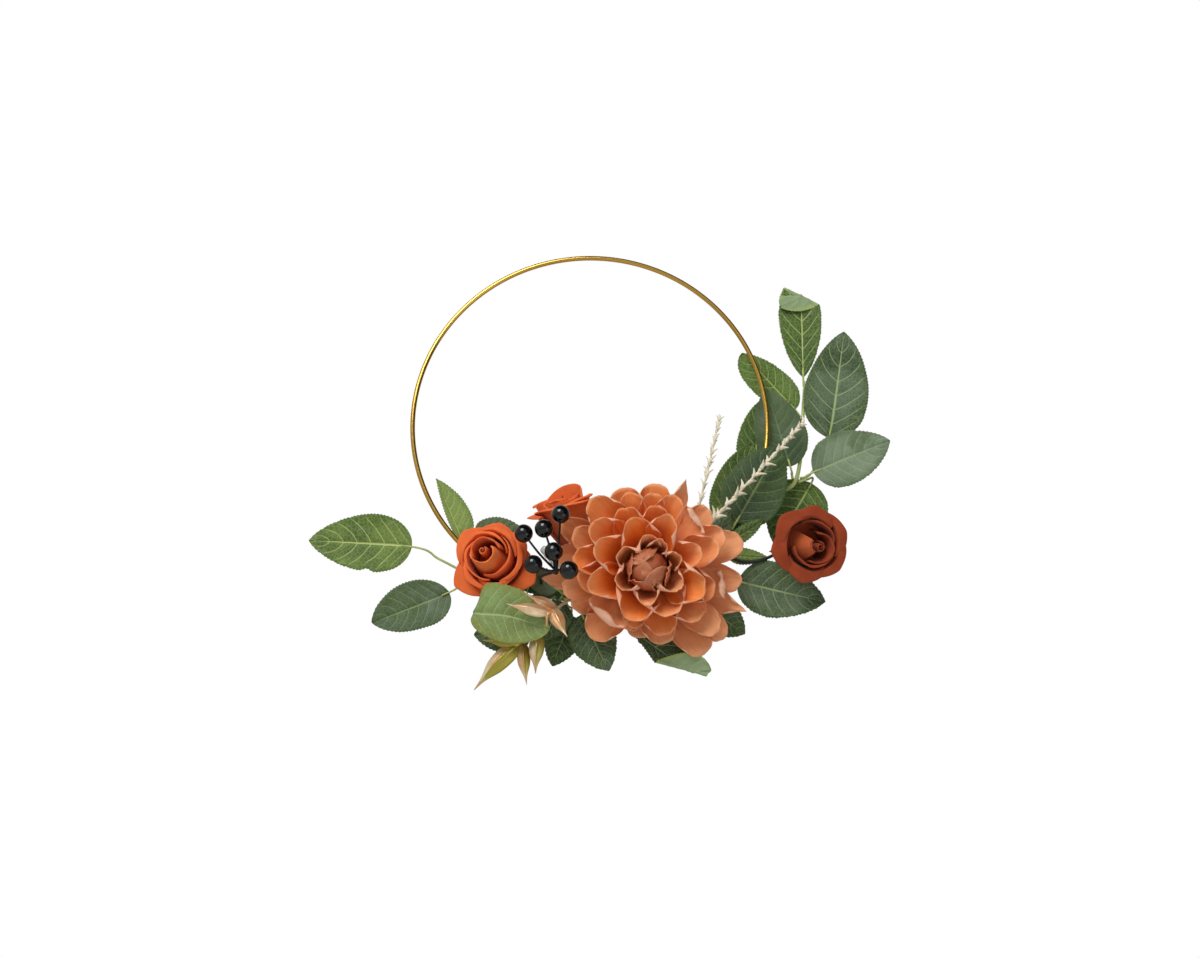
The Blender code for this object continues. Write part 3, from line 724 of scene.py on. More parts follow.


# The layers of the flower: height of the base, height of the rim and radius, in millimetres, and the
# petals as (angle in degrees from the right, reach, width, cup, roll in degrees, point, tint and,
# where the rim rolls over, by how many degrees).
# A petal's tint moves it from the inner colour at 0 to the outer one at 1. It is partly the petals' own
# grading from the inner layers to the outer ones and partly painted light: petals at the bottom of the
# flower, which face up to the light, are paler, and those at the top are deeper.
DAHLIA_LAYERS = (
    (5, 21, 81, (
        (21, 80, 32, 0.70, -6, 0, 1.0), (-3, 76, 27, 0.9, 8, 0, 0.9), (-23, 87, 27, 1.0, 22, 1, 1.0),
        (-41, 82, 28, 0.8, -8, 0, 0.9), (-56, 82, 36, 0.9, -12, 0, 0.95), (68, 80, 18, 1.3, 30, 1, 1.1),
        (82, 69, 37, 0.7, 5, 0, 0.25), (106, 68, 38, 0.8, -6, 0, 0.25), (155, 77, 26, 1.3, 10, 0, 0.6),
        (172, 73, 32, 0.9, 0, 0, 0.75), (-174, 84, 24, 1.2, -30, 0.6, 1.0), (-129, 70, 36, 1.2, 10, 0, 0.8),
        (-92, 55, 32, 0.9, 0, 0, 0.9), (-152, 66, 30, 0.8, 0, 0, 0.7), (46, 70, 30, 0.7, 0, 0, 0.6))),
    (9, 32, 70, (
        (126, 71, 36, 1.2, 12, 0, 0.30), (104, 63, 26, 1.0, -5, 0, 0.15), (86, 62, 26, 0.9, 6, 0, 0.15),
        (69, 63, 28, 1.1, -14, 0, 0.25), (29, 68, 31, 0.9, -10, 0, 0.6), (-7, 78, 27, 0.7, 20, 0, 1.0, 175),
        (-44, 75, 30, 0.9, -8, 0, 0.65), (-77, 60, 34, 1.2, 14, 0, 0.85), (-112, 51, 30, 1.0, 0, 0, 0.6),
        (-166, 70, 27, 1.2, -22, 0, 0.7), (158, 66, 29, 1.0, 0, 0, 0.35))),
    (13, 41, 57, (
        (139, 58, 33, 1.5, 14, 0, 0.25), (111, 53, 30, 1.3, -8, 0, 0.10), (44, 72, 32, 0.7, -14, 0, 0.9, 185),
        (20, 60, 30, 1.3, -8, 0, 0.40), (-14, 57, 30, 1.4, 10, 0, 0.30), (-41, 58, 33, 1.3, -6, 0, 0.35),
        (-72, 54, 33, 1.3, 8, 0, 0.30), (-103, 48, 28, 1.1, 0, 0, 0.25), (-133, 66, 42, 0.7, 6, 0, 0.9, 170),
        (-168, 57, 31, 1.4, -8, 0, 0.25), (168, 60, 29, 1.3, 10, 0, 0.15), (78, 53, 26, 1.3, 6, 0, 0.10))),
    (17, 50, 43, (
        (104, 43, 35, 1.5, 10, 0, 0.05), (62, 45, 29, 1.6, -16, 0, 0.25), (158, 48, 34, 1.4, 10, 0, 0.10),
        (-160, 50, 32, 1.4, -8, 0, 0.10), (-114, 43, 38, 1.5, 6, 0, 0.20), (-64, 43, 40, 1.4, -10, 0, 0.35),
        (-20, 47, 36, 1.5, 10, 0, 0.15), (20, 45, 29, 1.6, -12, 0, 0.40))),
    (21, 56, 29, (
        (-36, 30, 27, 1.7, -20, 0, 0.9), (26, 29, 20, 1.7, 18, 0, 0.6), (-92, 28, 24, 1.6, 10, 0, 0.7),
        (-152, 31, 28, 1.8, 14, 0, 0.5), (150, 30, 26, 1.7, -12, 0, 0.6), (100, 27, 24, 1.6, 12, 0, 0.9),
        (66, 27, 19, 1.6, 0, 0, 0.4))),
)


# Where along a petal its outer part starts to roll over.
ROLL_START = 0.76


def petal_outline(along, pointed):
    """Half-width of a spoon-shaped petal along its length, 1 at its widest."""
    grow = 0.30 + 0.70 * math.sin(math.pi / 2 * min(1.0, along / 0.68)) ** 1.2
    close = max(0.0, (along - 0.70) / 0.30)
    return grow * (1.0 - (0.34 + 0.34 * pointed) * close ** 2)


def add_petal(form, head, turn, start, reach, floor, rim, width, cup, roll, pointed, power, crinkle, seed,
              tint, fold=0.0):
    """One cupped petal: it rises from its base and its sides curl up round its middle line.

    fold is how far, in degrees, its outer part rolls back over towards the bud.
    """
    out = Vector((math.cos(turn), math.sin(turn), 0.0))
    side = Vector((-math.sin(turn), math.cos(turn), 0.0))
    half = width / 2 * min(cup / math.sin(cup), 1.5)
    length = math.hypot(reach - start, rim - floor)
    tip_drop = (0.62 + 0.4 * pointed) * width / 2 / length
    odd = random.Random(seed)
    bend = odd.uniform(-0.07, 0.07)
    curl = odd.uniform(0.2, 1.5) * 0.0028
    notch = odd.uniform(-0.6, 0.6)

    def rise(t):
        radius = start + (reach - start) * t
        return out * radius + Vector((0, 0, floor + (rim - floor) * max(radius / reach, 0.0) ** power))

    def path(t):
        if not fold or t <= ROLL_START:
            return rise(t)
        heading = (rise(ROLL_START) - rise(ROLL_START - 0.02)).normalized()
        rolled = (1.0 - ROLL_START) * length / math.radians(fold)
        angle = (t - ROLL_START) * length / rolled
        upward = heading.cross(side)
        return rise(ROLL_START) + (heading * math.sin(angle) + upward * (1.0 - math.cos(angle))) * rolled

    def shape(along, across):
        round_end = 1.0 - math.sqrt(1.0 - 0.97 * across ** 2)
        ends = round_end + (abs(across) - round_end) * pointed
        cut = 0.022 * noise.noise(Vector((across * 2.2 + notch, seed * 1.9, 0.0)))
        t = max(along - (tip_drop * ends + cut) * along ** 3, 0.0)
        ahead = (path(min(t + 0.02, 1.0)) - path(max(t - 0.02, 0.0))).normalized()
        lift = ahead.cross(side).normalized()
        wide = half * petal_outline(along, pointed)
        arc = cup * (0.35 + 0.65 * along) * across
        spread = math.sin(arc) / cup
        raise_by = (1.0 - math.cos(arc)) / cup
        local = side * (wide * spread) + lift * (wide * raise_by)
        local = Matrix.Rotation(math.radians(roll) * (0.3 + 0.7 * along), 3, ahead) @ local
        wave = noise.noise(Vector((along * 2.6, across * 1.9, seed * 7.3)))
        fine = noise.noise(Vector((along * 9.0, across * 7.0, seed * 3.7)))
        edge = max(across ** 2, along ** 3)
        ripple = crinkle * (1.8 * wave * edge + 1.0 * fine * edge * along)
        tip = curl * ease(along, 0.55, 1.0) * (1.0 - 0.3 * across ** 2)
        place = path(t) + local + lift * (ripple + tip) + side * (bend * length * along ** 2)
        return head @ place

    add_sheet(form, 22, 14, shape, tint)


def add_bud_wrap(form, head, middle, radius, turn, lowest, highest, width, seed, tint):
    """One petal that hugs the bud: from low on its side, over and past its top to a rounded end."""
    meridian = math.radians(turn)
    side = Vector((-math.sin(meridian), math.cos(meridian), 0.0))

    def shape(along, across):
        round_end = 1.0 - math.sqrt(1.0 - 0.95 * across ** 2)
        t = along * (1.0 - 0.20 * round_end * along ** 2)
        polar = math.radians(lowest + (highest - lowest) * t)
        away = math.sin(polar)
        spine = Vector((away * math.cos(meridian), away * math.sin(meridian), math.cos(polar)))
        angle = math.radians(width) * across * (1.0 - 0.42 * along ** 2)
        wave = noise.noise(Vector((along * 3, across * 2.5, seed * 3.1)))
        edge = max(abs(across), along)
        reach = radius + 0.0009 * wave + 0.0020 * ease(edge, 0.72, 1.0) * (0.7 + wave)
        place = (spine * math.cos(angle) + side * math.sin(angle)) * reach
        place.z *= 1.08
        return head @ (middle + place)

    add_sheet(form, 26, 22, shape, tint)


class WREATH_OT_dahlia(bpy.types.Operator):
    """Make the large cloth dahlia: five layers of cupped petals round a wrapped bud"""
    bl_idname = "wreath.dahlia"
    bl_label = "Dahlia"

    def execute(self, context):
        look = context.scene.wreath_dahlia
        head = head_at(0.036, (9, -16, 15), (0.03, -0.97, -0.20))
        finishes = petal_finishes()
        for number, (floor, rim, radius, petals) in enumerate(DAHLIA_LAYERS, start=1):
            form = new_form()
            innermost = number == len(DAHLIA_LAYERS)
            for index, (angle, reach, width, cup, roll, pointed, tint, *fold) in enumerate(petals):
                seed = number * 31 + index
                height = rim if innermost else floor + (rim - floor) * min(reach / radius, 1.1) ** 1.6
                odd = random.Random(seed)
                add_petal(form, head, math.radians(angle), 0.005 if not innermost else 0.010, reach * MM,
                          floor * MM, (height + odd.uniform(-1.5, 1.5)) * MM, width * MM, cup, roll, pointed,
                          2.0 if innermost else 1.5, look.crinkle, seed, tint + odd.uniform(-0.12, 0.12),
                          *fold)
            item = piece(f"dahlia_petals_{number}", form, finishes, "bound_arrangement",
                         (f"dahlia_whorl_{number}",))
            thicken(item, look.cloth)
        self.make_bud(look, head, finishes)
        dress("dahlia_stem", green_stem())
        dress("dahlia_calyx", green_stem())
        return {"FINISHED"}

    def make_bud(self, look, head, finishes):
        """The closed bud: a ball under seven overlapping wraps."""
        radius = look.bud_radius
        middle = Vector((0.0, 0.0, 0.0445))
        form = new_form()
        add_bud_wrap(form, head, middle, radius - 0.0020, 0, 125, -125, 88, 9, 0.1)
        wraps = ((20, -26, 70), (215, -6, 74), (310, 8, 62), (118, 24, 56), (250, 40, 48), (172, 50, 46),
                 (345, 50, 44))
        for number, (turn, tip, width) in enumerate(wraps):
            out = radius - 0.0016 + 0.00042 * number
            add_bud_wrap(form, head, middle, out, turn, 118, tip, width, number, 0.2 + 0.1 * (number % 4))
        # Its last colour is the painted shade at the base of each wrap.
        bud_face = finish("bud_face", make_petal_face, (0.44, 0.105, 0.036), (0.66, 0.27, 0.14),
                          (0.22, 0.030, 0.009))
        item = piece("dahlia_bud_wraps", form, (bud_face, bud_face, finishes[2]), "bound_arrangement",
                     ("dahlia_bud",))
        thicken(item, 0.0005)


# ---------------------------------------------------------------- roses

class RoseSettings(bpy.types.PropertyGroup):
    orange: FloatVectorProperty(name="Orange Foam", description="Colour of the orange roses", subtype="COLOR",
                                size=3, min=0.0, max=1.0, default=(0.96, 0.200, 0.050))
    rust: FloatVectorProperty(name="Rust Foam", description="Colour of the rust roses", subtype="COLOR",
                              size=3, min=0.0, max=1.0, default=(0.38, 0.066, 0.020))
    foam: FloatProperty(name="Foam", description="Thickness of the foam sheet", default=0.0014, min=0.0005,
                        max=0.003, unit="LENGTH")


# How far along a foam petal its wall ends, and how far along its bend ends; the rest is the flat fold.
WALL_END = 0.60
BEND_END = 0.78


def add_wall(form, head, turn, spread, low, high, base, top, lip, drop=0.12, lean=0.0, curl=112,
             centre=(0, 0), peak=0.58, seed=0, tint=0.5):
    """One foam petal, in millimetres: a wall round the rose's axis, with its upper edge folded outward.

    The fold is longest in the petal's middle; peak is how far it narrows to the sides.
    """
    facing = math.radians(turn)
    width = math.radians(spread)
    bend = 1.3 if lip > 2.0 else 0.6

    def shape(along, across):
        wall = min(along / WALL_END, 1.0)
        fold = min(max(along - WALL_END, 0.0) / (BEND_END - WALL_END), 1.0)
        flap = max(along - BEND_END, 0.0) / (1.0 - BEND_END)
        angle = facing + width * across * (0.80 + 0.20 * wall)
        height = low + (high * (1.0 - drop * across ** 2) - low) * wall
        radius = base + (top - base) * wall ** 0.8 + lean * across * (0.4 + 0.6 * wall)
        over = math.radians(curl) * fold
        point = 1.0 - peak * abs(across)
        radius += bend * (1.0 - math.cos(over)) + math.sin(over) * lip * point * flap
        height += bend * math.sin(over) + math.cos(over) * lip * point * flap
        wave = noise.noise(Vector((angle * 1.5, along * 1.4, seed * 5.1)))
        radius += 0.9 * wave * wall * min(top / 14.0, 1.2)
        height += 0.9 * noise.noise(Vector((angle * 1.9, seed * 2.3, along))) * wall
        return head @ mm(radius * math.cos(angle) + centre[0] * wall,
                         radius * math.sin(angle) + centre[1] * wall, height)

    add_sheet(form, 18, 22, shape, tint)


def add_ring(form, head, low, base, walls, seed, **how):
    """Petals that start at one height: each is (direction, half its spread, radius, height, fold)."""
    for index, (turn, spread, top, high, lip) in enumerate(walls):
        add_wall(form, head, turn, spread, low, high, base, top, lip, seed=seed + index, **how)


def add_floor(form, head, radius, low, high):
    """Foam dish, in millimetres, that closes the bottom of a rose; its ends pass over each other."""
    def shape(along, across):
        angle = math.pi * 1.04 * across
        out = radius * (0.03 + 0.97 * along) + 0.5 * across
        height = low + (high - low) * along ** 2 + 0.8 * across
        return head @ mm(out * math.cos(angle), out * math.sin(angle), height)

    add_sheet(form, 8, 30, shape, 0.0)


def add_roll(form, head, turn, turns, inner, outer, low, high, fall, centre=(0, 0), tilt=0.0):
    """Rolled foam heart, in millimetres: a strip wound into a spiral, its middle standing highest."""
    def shape(along, across):
        level = across * 0.5 + 0.5
        angle = math.radians(turn) + along * turns * 2 * math.pi
        radius = inner + (outer - inner) * along ** 0.9
        top = high - fall * along + tilt * math.cos(angle)
        height = low + (top - low) * level
        radius *= 1.0 - 0.16 * ease(level, 0.55, 1.0)
        return head @ mm(radius * math.cos(angle) + centre[0], radius * math.sin(angle) + centre[1], height)

    add_sheet(form, 70, 10, shape)


def rose_piece(name, form, kind, body, nodes):
    """Turn a rose's sheets into one piece of foam."""
    look = bpy.context.scene.wreath_roses
    sheet = foam(kind)
    item = piece(name, form, (sheet, sheet, sheet), body, nodes)
    thicken(item, look.foam, soften=1)


class WREATH_OT_roses(bpy.types.Operator):
    """Make the two orange foam roses, the rust rose on its wire and the low rust rose"""
    bl_idname = "wreath.roses"
    bl_label = "Foam Roses"

    def execute(self, context):
        self.left_rose()
        self.rear_rose()
        self.rust_rose()
        self.low_rose()
        for node in ("rose_left_stem", "rose_rear_stem", "rose_low_stem"):
            dress(node, black_stem())
        return {"FINISHED"}

    def left_rose(self):
        head = head_at(-0.064, (-12, -16, 10), (-0.10, -0.99, -0.07))
        form = new_form()
        add_floor(form, head, 15, 3, 8)
        add_roll(form, head, 200, 1.6, 0.8, 4.6, 14, 38.5, 2.4, centre=(-6.6, 6.4), tilt=0.8)
        # Its tint of 0.8 paints this wall paler, as if lit.
        add_wall(form, head, -70, 112, 6, 37.5, 15.0, 8.4, 0.5, centre=(-6.0, 5.6), lean=-1.6, drop=0.13,
                 seed=1, tint=0.8)
        add_wall(form, head, 110, 96, 8, 35.5, 14.0, 10.2, 0.8, centre=(-5.8, 5.4), lean=-1.4, drop=0.12,
                 seed=2)
        inner = ((195, 80, 16.4, 31.5, 1.6), (-22, 82, 16.4, 32, 1.6), (80, 74, 16.8, 31.5, 2.0))
        middle = ((-12, 60, 20.6, 28.5, 3.64), (-75, 52, 19.6, 25.5, 3.64), (55, 52, 20.4, 29, 3.9),
                  (140, 54, 20.6, 28, 4.16), (-140, 56, 20.6, 25, 3.64))
        outer = ((80, 46, 22.0, 23, 8.05), (26, 42, 22.0, 24, 6.9), (-29, 46, 24.0, 20, 12.65),
                 (-104, 44, 22.5, 17, 8.625), (-150, 44, 24.0, 18, 12.65), (136, 46, 23.5, 21, 10.925))
        add_ring(form, head, 4, 15.5, inner, 3, centre=(-3.6, 3.2), lean=2.2, drop=0.20, peak=0.8)
        add_ring(form, head, 3, 15.0, middle, 8, centre=(-1.2, 1.2), lean=2.0, drop=0.18, peak=0.85)
        add_ring(form, head, 0.5, 13.5, outer, 14, lean=1.8, curl=104, peak=0.9)
        rose_piece("rose_left_foam", form, "orange", "bound_arrangement",
                   ("rose_left_outer", "rose_left_middle", "rose_left_heart"))

    def rear_rose(self):
        head = head_at(-0.012, (-1, -1, 44), (-0.25, -0.30, 0.92))
        form = new_form()
        add_floor(form, head, 13, 3, 8)
        add_roll(form, head, 0, 1.8, 1.2, 7.0, 14, 40, 4, tilt=1.0)
        inner = ((-90, 95, 11, 38, 1.2), (40, 85, 12.5, 38, 1.2), (170, 85, 14, 38, 1.2))
        outer = ((-70, 84, 21, 33, 5.5), (14, 56, 20, 35, 3.5), (-150, 50, 23, 30, 8.0),
                 (174, 50, 20, 38, 4.0))
        add_ring(form, head, 6, 9.0, inner, 30, lean=1.2)
        add_wall(form, head, 100, 88, 1, 47, 9.0, 17, 0.8, lean=1.2, curl=100, peak=0.4, seed=40, drop=0.26)
        add_ring(form, head, 1, 9.0, outer, 41, lean=1.2, curl=100, peak=0.4, drop=0.05)
        rose_piece("rose_rear_foam", form, "orange", "bound_arrangement",
                   ("rose_rear_outer", "rose_rear_heart"))

    def rust_rose(self):
        arc, seat, facing = 0.116, (66, -21, -3), (0.20, -0.95, -0.25)
        head = head_at(arc, seat, facing)
        form = new_form()
        add_floor(form, head, 16, 3, 8)
        add_roll(form, head, 150, 1.8, 0.9, 5.4, 6, 28.5, 2.0, centre=(7.2, -2), tilt=-1.0)
        # Its tint of 1.2 paints this wall paler, as if lit, with less painted shade low down.
        add_wall(form, head, 192, 66, 6, 31.5, 21.0, 4.5, 0.3, drop=0.05, centre=(3, -1), seed=51, tint=1.2)
        add_wall(form, head, -14, 108, 4, 28.5, 12.5, 11.2, 0.6, lean=-1.2, centre=(6, -2), seed=52)
        add_wall(form, head, -98, 76, 3, 28.0, 15.0, 16.5, 1.2, lean=1.2, centre=(2, 0), seed=53)
        add_wall(form, head, 50, 70, 3, 26.5, 15.0, 17.5, 1.0, lean=1.2, centre=(1, 0), seed=54)
        outer = ((86, 46, 21.0, 27.0, 9.0), (22, 46, 22.5, 25.5, 8.5), (-38, 48, 23.0, 24.5, 8.5),
                 (-103, 48, 20.5, 25.5, 10.0), (192, 46, 21.0, 26.5, 12.0), (142, 46, 21.5, 27.5, 11.5))
        add_ring(form, head, 0.5, 15.0, outer, 60, lean=1.3, curl=100, peak=0.62)
        rose_piece("rose_right_foam", form, "rust", "rust_rose",
                   ("rose_right_outer", "rose_right_middle", "rose_right_heart"))

        form = new_form()
        for index, reach in enumerate((26.5, 26.5, 26.5, 30, 26.5)):
            turn = math.radians(72 * index - 20)
            add_petal(form, head, turn, 0.003, reach * MM, -0.004, 0.001, 0.013, 0.5, 0, 1, 1.4, 0.0004,
                      80 + index, 0.25)
        sepals = leaf_finishes("bright")
        item = piece("rose_right_calyx", form, sepals, "rust_rose", ("rose_right_sepals",))
        thicken(item, 0.0006)

        ahead = Vector(facing).normalized()
        base = on_hoop(arc) + mm(*seat)
        route = from_hoop(arc, (1, FRONT - 1.5, -3), (8, -9, -10), (20, -12, -16), (34, -13, -15),
                          (46, -11.5, -10), (56, -10, -5))
        route += [base - ahead * 0.012, base - ahead * 0.003, base + ahead * 0.006]
        form = new_form()
        add_tube(form, smooth_route(route, 8), lambda along, angle: 0.0013, 14)
        piece("rose_right_wire", form, [black_stem()], "rust_rose", ("rose_right_stem",))

    def low_rose(self):
        head = head_at(0.062, (1, 14, -26), (0.05, -0.10, -1.0))
        form = new_form()
        add_floor(form, head, 12, 3, 8)
        add_roll(form, head, 30, 1.7, 1.0, 7.0, 8, 29, 3)
        inner = ((0, 80, 10, 27, 1.2), (125, 80, 12, 27, 1.2), (245, 80, 13.5, 26, 1.2))
        outer = [(72 * index + 20, 48, 18.5, 19, 5.0) for index in range(5)]
        add_ring(form, head, 4, 8.0, inner, 90, lean=1.2)
        add_ring(form, head, 1, 9.0, outer, 95, lean=1.5)
        rose_piece("rose_low_foam", form, "rust", "bound_arrangement", ("rose_low_head",))


# ---------------------------------------------------------------- berries

class BerrySettings(bpy.types.PropertyGroup):
    radius: FloatProperty(name="Berry Radius", description="Radius of a berry", default=0.0073, min=0.002,
                          max=0.02, unit="LENGTH")
    stalk: FloatProperty(name="Stalk Radius", description="Radius of a berry's stalk", default=0.0009,
                         min=0.0003, max=0.003, unit="LENGTH")


class WREATH_OT_berries(bpy.types.Operator):
    """Make the spray of black berries on its wire"""
    bl_idname = "wreath.berries"
    bl_label = "Black Berries"

    def execute(self, context):
        look = context.scene.wreath_berries
        arc = -0.040
        knot, = from_hoop(arc, (14, -58, 4))
        black = finish("berry_gloss", make_berry)
        spots = ((17, -60, 49), (4, -62, 37), (-12, -58, 34), (12, -69, 17), (-4, -64, 8), (24, -75, 1))
        for number, spot in enumerate(spots, start=1):
            centre, = from_hoop(arc, spot)
            form = new_form()
            self.add_berry(form, centre, (centre - knot).normalized(), look.radius)
            middle = (knot + centre) / 2 + Vector((0.0, 0.002, 0.0015 * (-1) ** number))
            route = smooth_route([knot, middle, centre], 8)
            add_tube(form, route, lambda along, angle: look.stalk * (1.25 - 0.4 * along), 12)
            piece(f"berry_bead_{number}", form, [black], "berry_spray", (f"berry_{number}",))

        form = new_form()
        points = from_hoop(arc, (0.5, FRONT - 1.6, 1), (1, -20, 2), (1, -37, 4), (9.5, -51, 4), (14, -58, 4))

        def reach(along, angle):
            return 0.0012 * (1.0 + 1.4 * ease(along, 0.82, 0.95) - 1.2 * ease(along, 0.95, 1.0))

        add_tube(form, smooth_route(points, 8), reach, 16)
        piece("berry_wire", form, [black_stem()], "berry_spray", ("berry_stem",))
        return {"FINISHED"}

    def add_berry(self, form, centre, outward, radius):
        """A ball with the small crown of a dried berry at its far end."""
        steps = 24
        start = centre - outward * radius
        route = [start + outward * radius * (1 - math.cos(math.pi * step / steps))
                 for step in range(steps + 1)]

        def reach(along, angle):
            around = math.sin(math.pi * along)
            crown = 0.07 * math.exp(-((along - 0.93) / 0.02) ** 2)
            return radius * max(around + crown, 0.02)

        add_tube(form, route, reach, 28)


# ---------------------------------------------------------------- gold pods

class PodSettings(bpy.types.PropertyGroup):
    ribs: IntProperty(name="Ribs", description="Ridges round a pod", default=5, min=2, max=12)
    rib_depth: FloatProperty(name="Rib Depth",
                             description="Depth of the ridges as a share of the pod's radius",
                             default=0.13, min=0.0, max=0.5, subtype="FACTOR")


class WREATH_OT_pods(bpy.types.Operator):
    """Make the gold spray of pointed pods"""
    bl_idname = "wreath.pods"
    bl_label = "Gold Pods"

    def execute(self, context):
        look = context.scene.wreath_pods
        arc = -0.014
        form = new_form()
        main = from_hoop(arc, (-1, FRONT - 1.4, -3), (-7, -16, -9), (-13, -32, -17), (-19, -47, -23),
                         (-20, -42, -32), (-28, -34, -38), (-42, -28, -45))
        add_tube(form, smooth_route(main, 8), lambda along, angle: 0.00125 - 0.0003 * along, 14, tint=0.0)
        pods = (((-41, -28, -44), (-76, -29, -80), 13.5, 1.0), ((-38, -28, -43), (-35, -29, -76), 9.5, 0.7),
                ((-26, -34, -37), (-28, -34, -68), 11, 0.6), ((-38, -29, -42), (-70, -31, -41), 10, 1.3),
                ((-18, -47, -22.5), (-50, -57, -17), 9.5, 0.0), ((-12, -30, -16), (-35, -57, -9), 9.5, 0.0),
                ((-15, -37, -18), (-3, -52, -42), 10.5, 0.15))
        for base, tip, width, tint in pods:
            self.add_pod(form, look, *from_hoop(arc, base, tip), width * MM / 2, tint)
        gold = finish("pod_paint", make_pod_gold)
        piece("gold_pods", form, [gold], "bound_arrangement", ("gold_spray",))
        return {"FINISHED"}

    def add_pod(self, form, look, base, tip, half, tint):
        """A slender pointed pod with ridges that run to its tip, slightly bent."""
        along_axis = tip - base
        bow = along_axis.orthogonal().normalized() * along_axis.length * 0.03
        steps = 36
        route = [base + along_axis * (step / steps) + bow * math.sin(math.pi * step / steps)
                 for step in range(steps + 1)]

        def reach(along, angle):
            swell = math.sin(math.pi * min(along, 1.0) ** 0.62) ** 0.9 if 0.0 < along < 1.0 else 0.0
            body = swell * (1.0 - 0.62 * ease(along, 0.50, 0.95)) + 0.05
            ridge = 1.0 + look.rib_depth * abs(math.cos(angle * look.ribs / 2)) ** 6
            keel = 1.0 + 0.26 * math.exp(-(angle / 0.14) ** 2)
            flat = 1.0 - 0.22 * math.cos(angle) ** 2
            return half * body * ridge * keel * flat

        add_tube(form, route, reach, 40, tint, facing=Vector((0.0, -1.0, 0.25)))


# ---------------------------------------------------------------- glue and grass

class WREATH_OT_glue(bpy.types.Operator):
    """Make the set bead of clear glue between the roses"""
    bl_idname = "wreath.glue"
    bl_label = "Glue Bead"

    def execute(self, context):
        form = new_form()
        route = smooth_route(from_hoop(-0.040, (1, -22, 31), (9, -21, 24), (18, -17, 13)), 14)

        def reach(along, angle):
            swell = 0.35 + 0.65 * math.sin(math.pi * along) ** 0.6
            lumps = 1.0 + 0.16 * noise.noise(Vector((along * 6, math.cos(angle), math.sin(angle))))
            return 0.0042 * swell * lumps

        add_tube(form, route, reach, 24)
        piece("glue_drop", form, [finish("glue_clear", make_glass)], "bound_arrangement", ("glue_bead",))
        return {"FINISHED"}


class GrassSettings(bpy.types.PropertyGroup):
    spikelets: IntProperty(name="Spikelets", description="Spikelets on one sprig", default=54, min=4, max=90)
    length: FloatProperty(name="Spikelet Length", description="Length of the longest spikelet",
                          default=0.0088, min=0.002, max=0.02, unit="LENGTH")


class WREATH_OT_grass(bpy.types.Operator):
    """Make the two sprigs of dried grass"""
    bl_idname = "wreath.grass"
    bl_label = "Dried Grass"

    def execute(self, context):
        cream = finish("grass_dry", make_grass_finish)
        sprigs = (
            ("grass_front", 0.096,
             ((0, FRONT - 1.1, 2), (2, -13, 14), (10, -19, 29), (50, -21, 72), (86, -22, 112)), 0.16, 1.0),
            ("grass_rear", 0.088,
             ((0, FRONT - 1.1, 2), (3, -8, 21), (5, -9, 41), (15, -11, 83), (25, -10, 125)), 0.30, 0.62))
        look = context.scene.wreath_grass
        for name, arc, points, start, plump in sprigs:
            form = new_form()
            route = smooth_route(from_hoop(arc, *points), 24)
            add_tube(form, route, lambda along, angle: 0.0013 - 0.0006 * along, 12)
            self.add_head(form, look, route, start, plump, name)
            body = "front_grass" if name == "grass_front" else "rear_grass"
            piece(f"{name}_sprig", form, [cream], body, (name,))
        return {"FINISHED"}

    def add_head(self, form, look, route, start, plump, name):
        """Spikelets in turn round the upper part of the stem, shorter towards both ends of the head."""
        odd = random.Random(name)
        axes = cross_axes(route)
        last = len(route) - 1
        for index in range(look.spikelets):
            share = start + (0.985 - start) * (index + odd.uniform(-0.2, 0.2)) / (look.spikelets - 1)
            spot = min(max(round(share * last), 0), last)
            side, up = axes[spot]
            ahead = side.cross(up)
            angle = index * 2.4 + odd.uniform(-0.4, 0.4)
            out = side * math.cos(angle) + up * math.sin(angle)
            fullness = 0.62 + 0.38 * math.sin(math.pi * index / look.spikelets)
            length = look.length * fullness * odd.uniform(0.8, 1.1)
            opening = odd.uniform(0.55, 0.95) * (1.0 if plump > 0.8 else 0.7)
            base = route[spot]
            middle = base + (ahead * 0.46 + out * 0.34 * opening) * length
            tip = base + (ahead * 0.80 + out * 0.98 * opening) * length
            width = 0.00205 * plump * odd.uniform(0.8, 1.15)

            def reach(along, turn, width=width):
                belly = 0.30 + 0.70 * math.sin(math.pi * min(along * 1.02, 1.0) ** 0.7)
                return width * belly * (1.0 - 0.6 * along)

            add_tube(form, smooth_route([base, middle, tip], 4), reach, 7)


# ---------------------------------------------------------------- leaves and stems

class LeafSettings(bpy.types.PropertyGroup):
    cloth: FloatProperty(name="Cloth", description="Thickness of a leaf's cloth", default=0.0005, min=0.0002,
                         max=0.002, unit="LENGTH")
    tooth: FloatProperty(name="Tooth Depth", description="Depth of the teeth along a leaf's edge",
                         default=0.0010, min=0.0, max=0.004, unit="LENGTH")
    tooth_pitch: FloatProperty(name="Tooth Pitch", description="Distance between teeth", default=0.0031,
                               min=0.001, max=0.01, unit="LENGTH")
    relief: FloatProperty(name="Vein Relief", description="How far the leaf swells between its veins",
                          default=0.0006, min=0.0, max=0.003, unit="LENGTH")
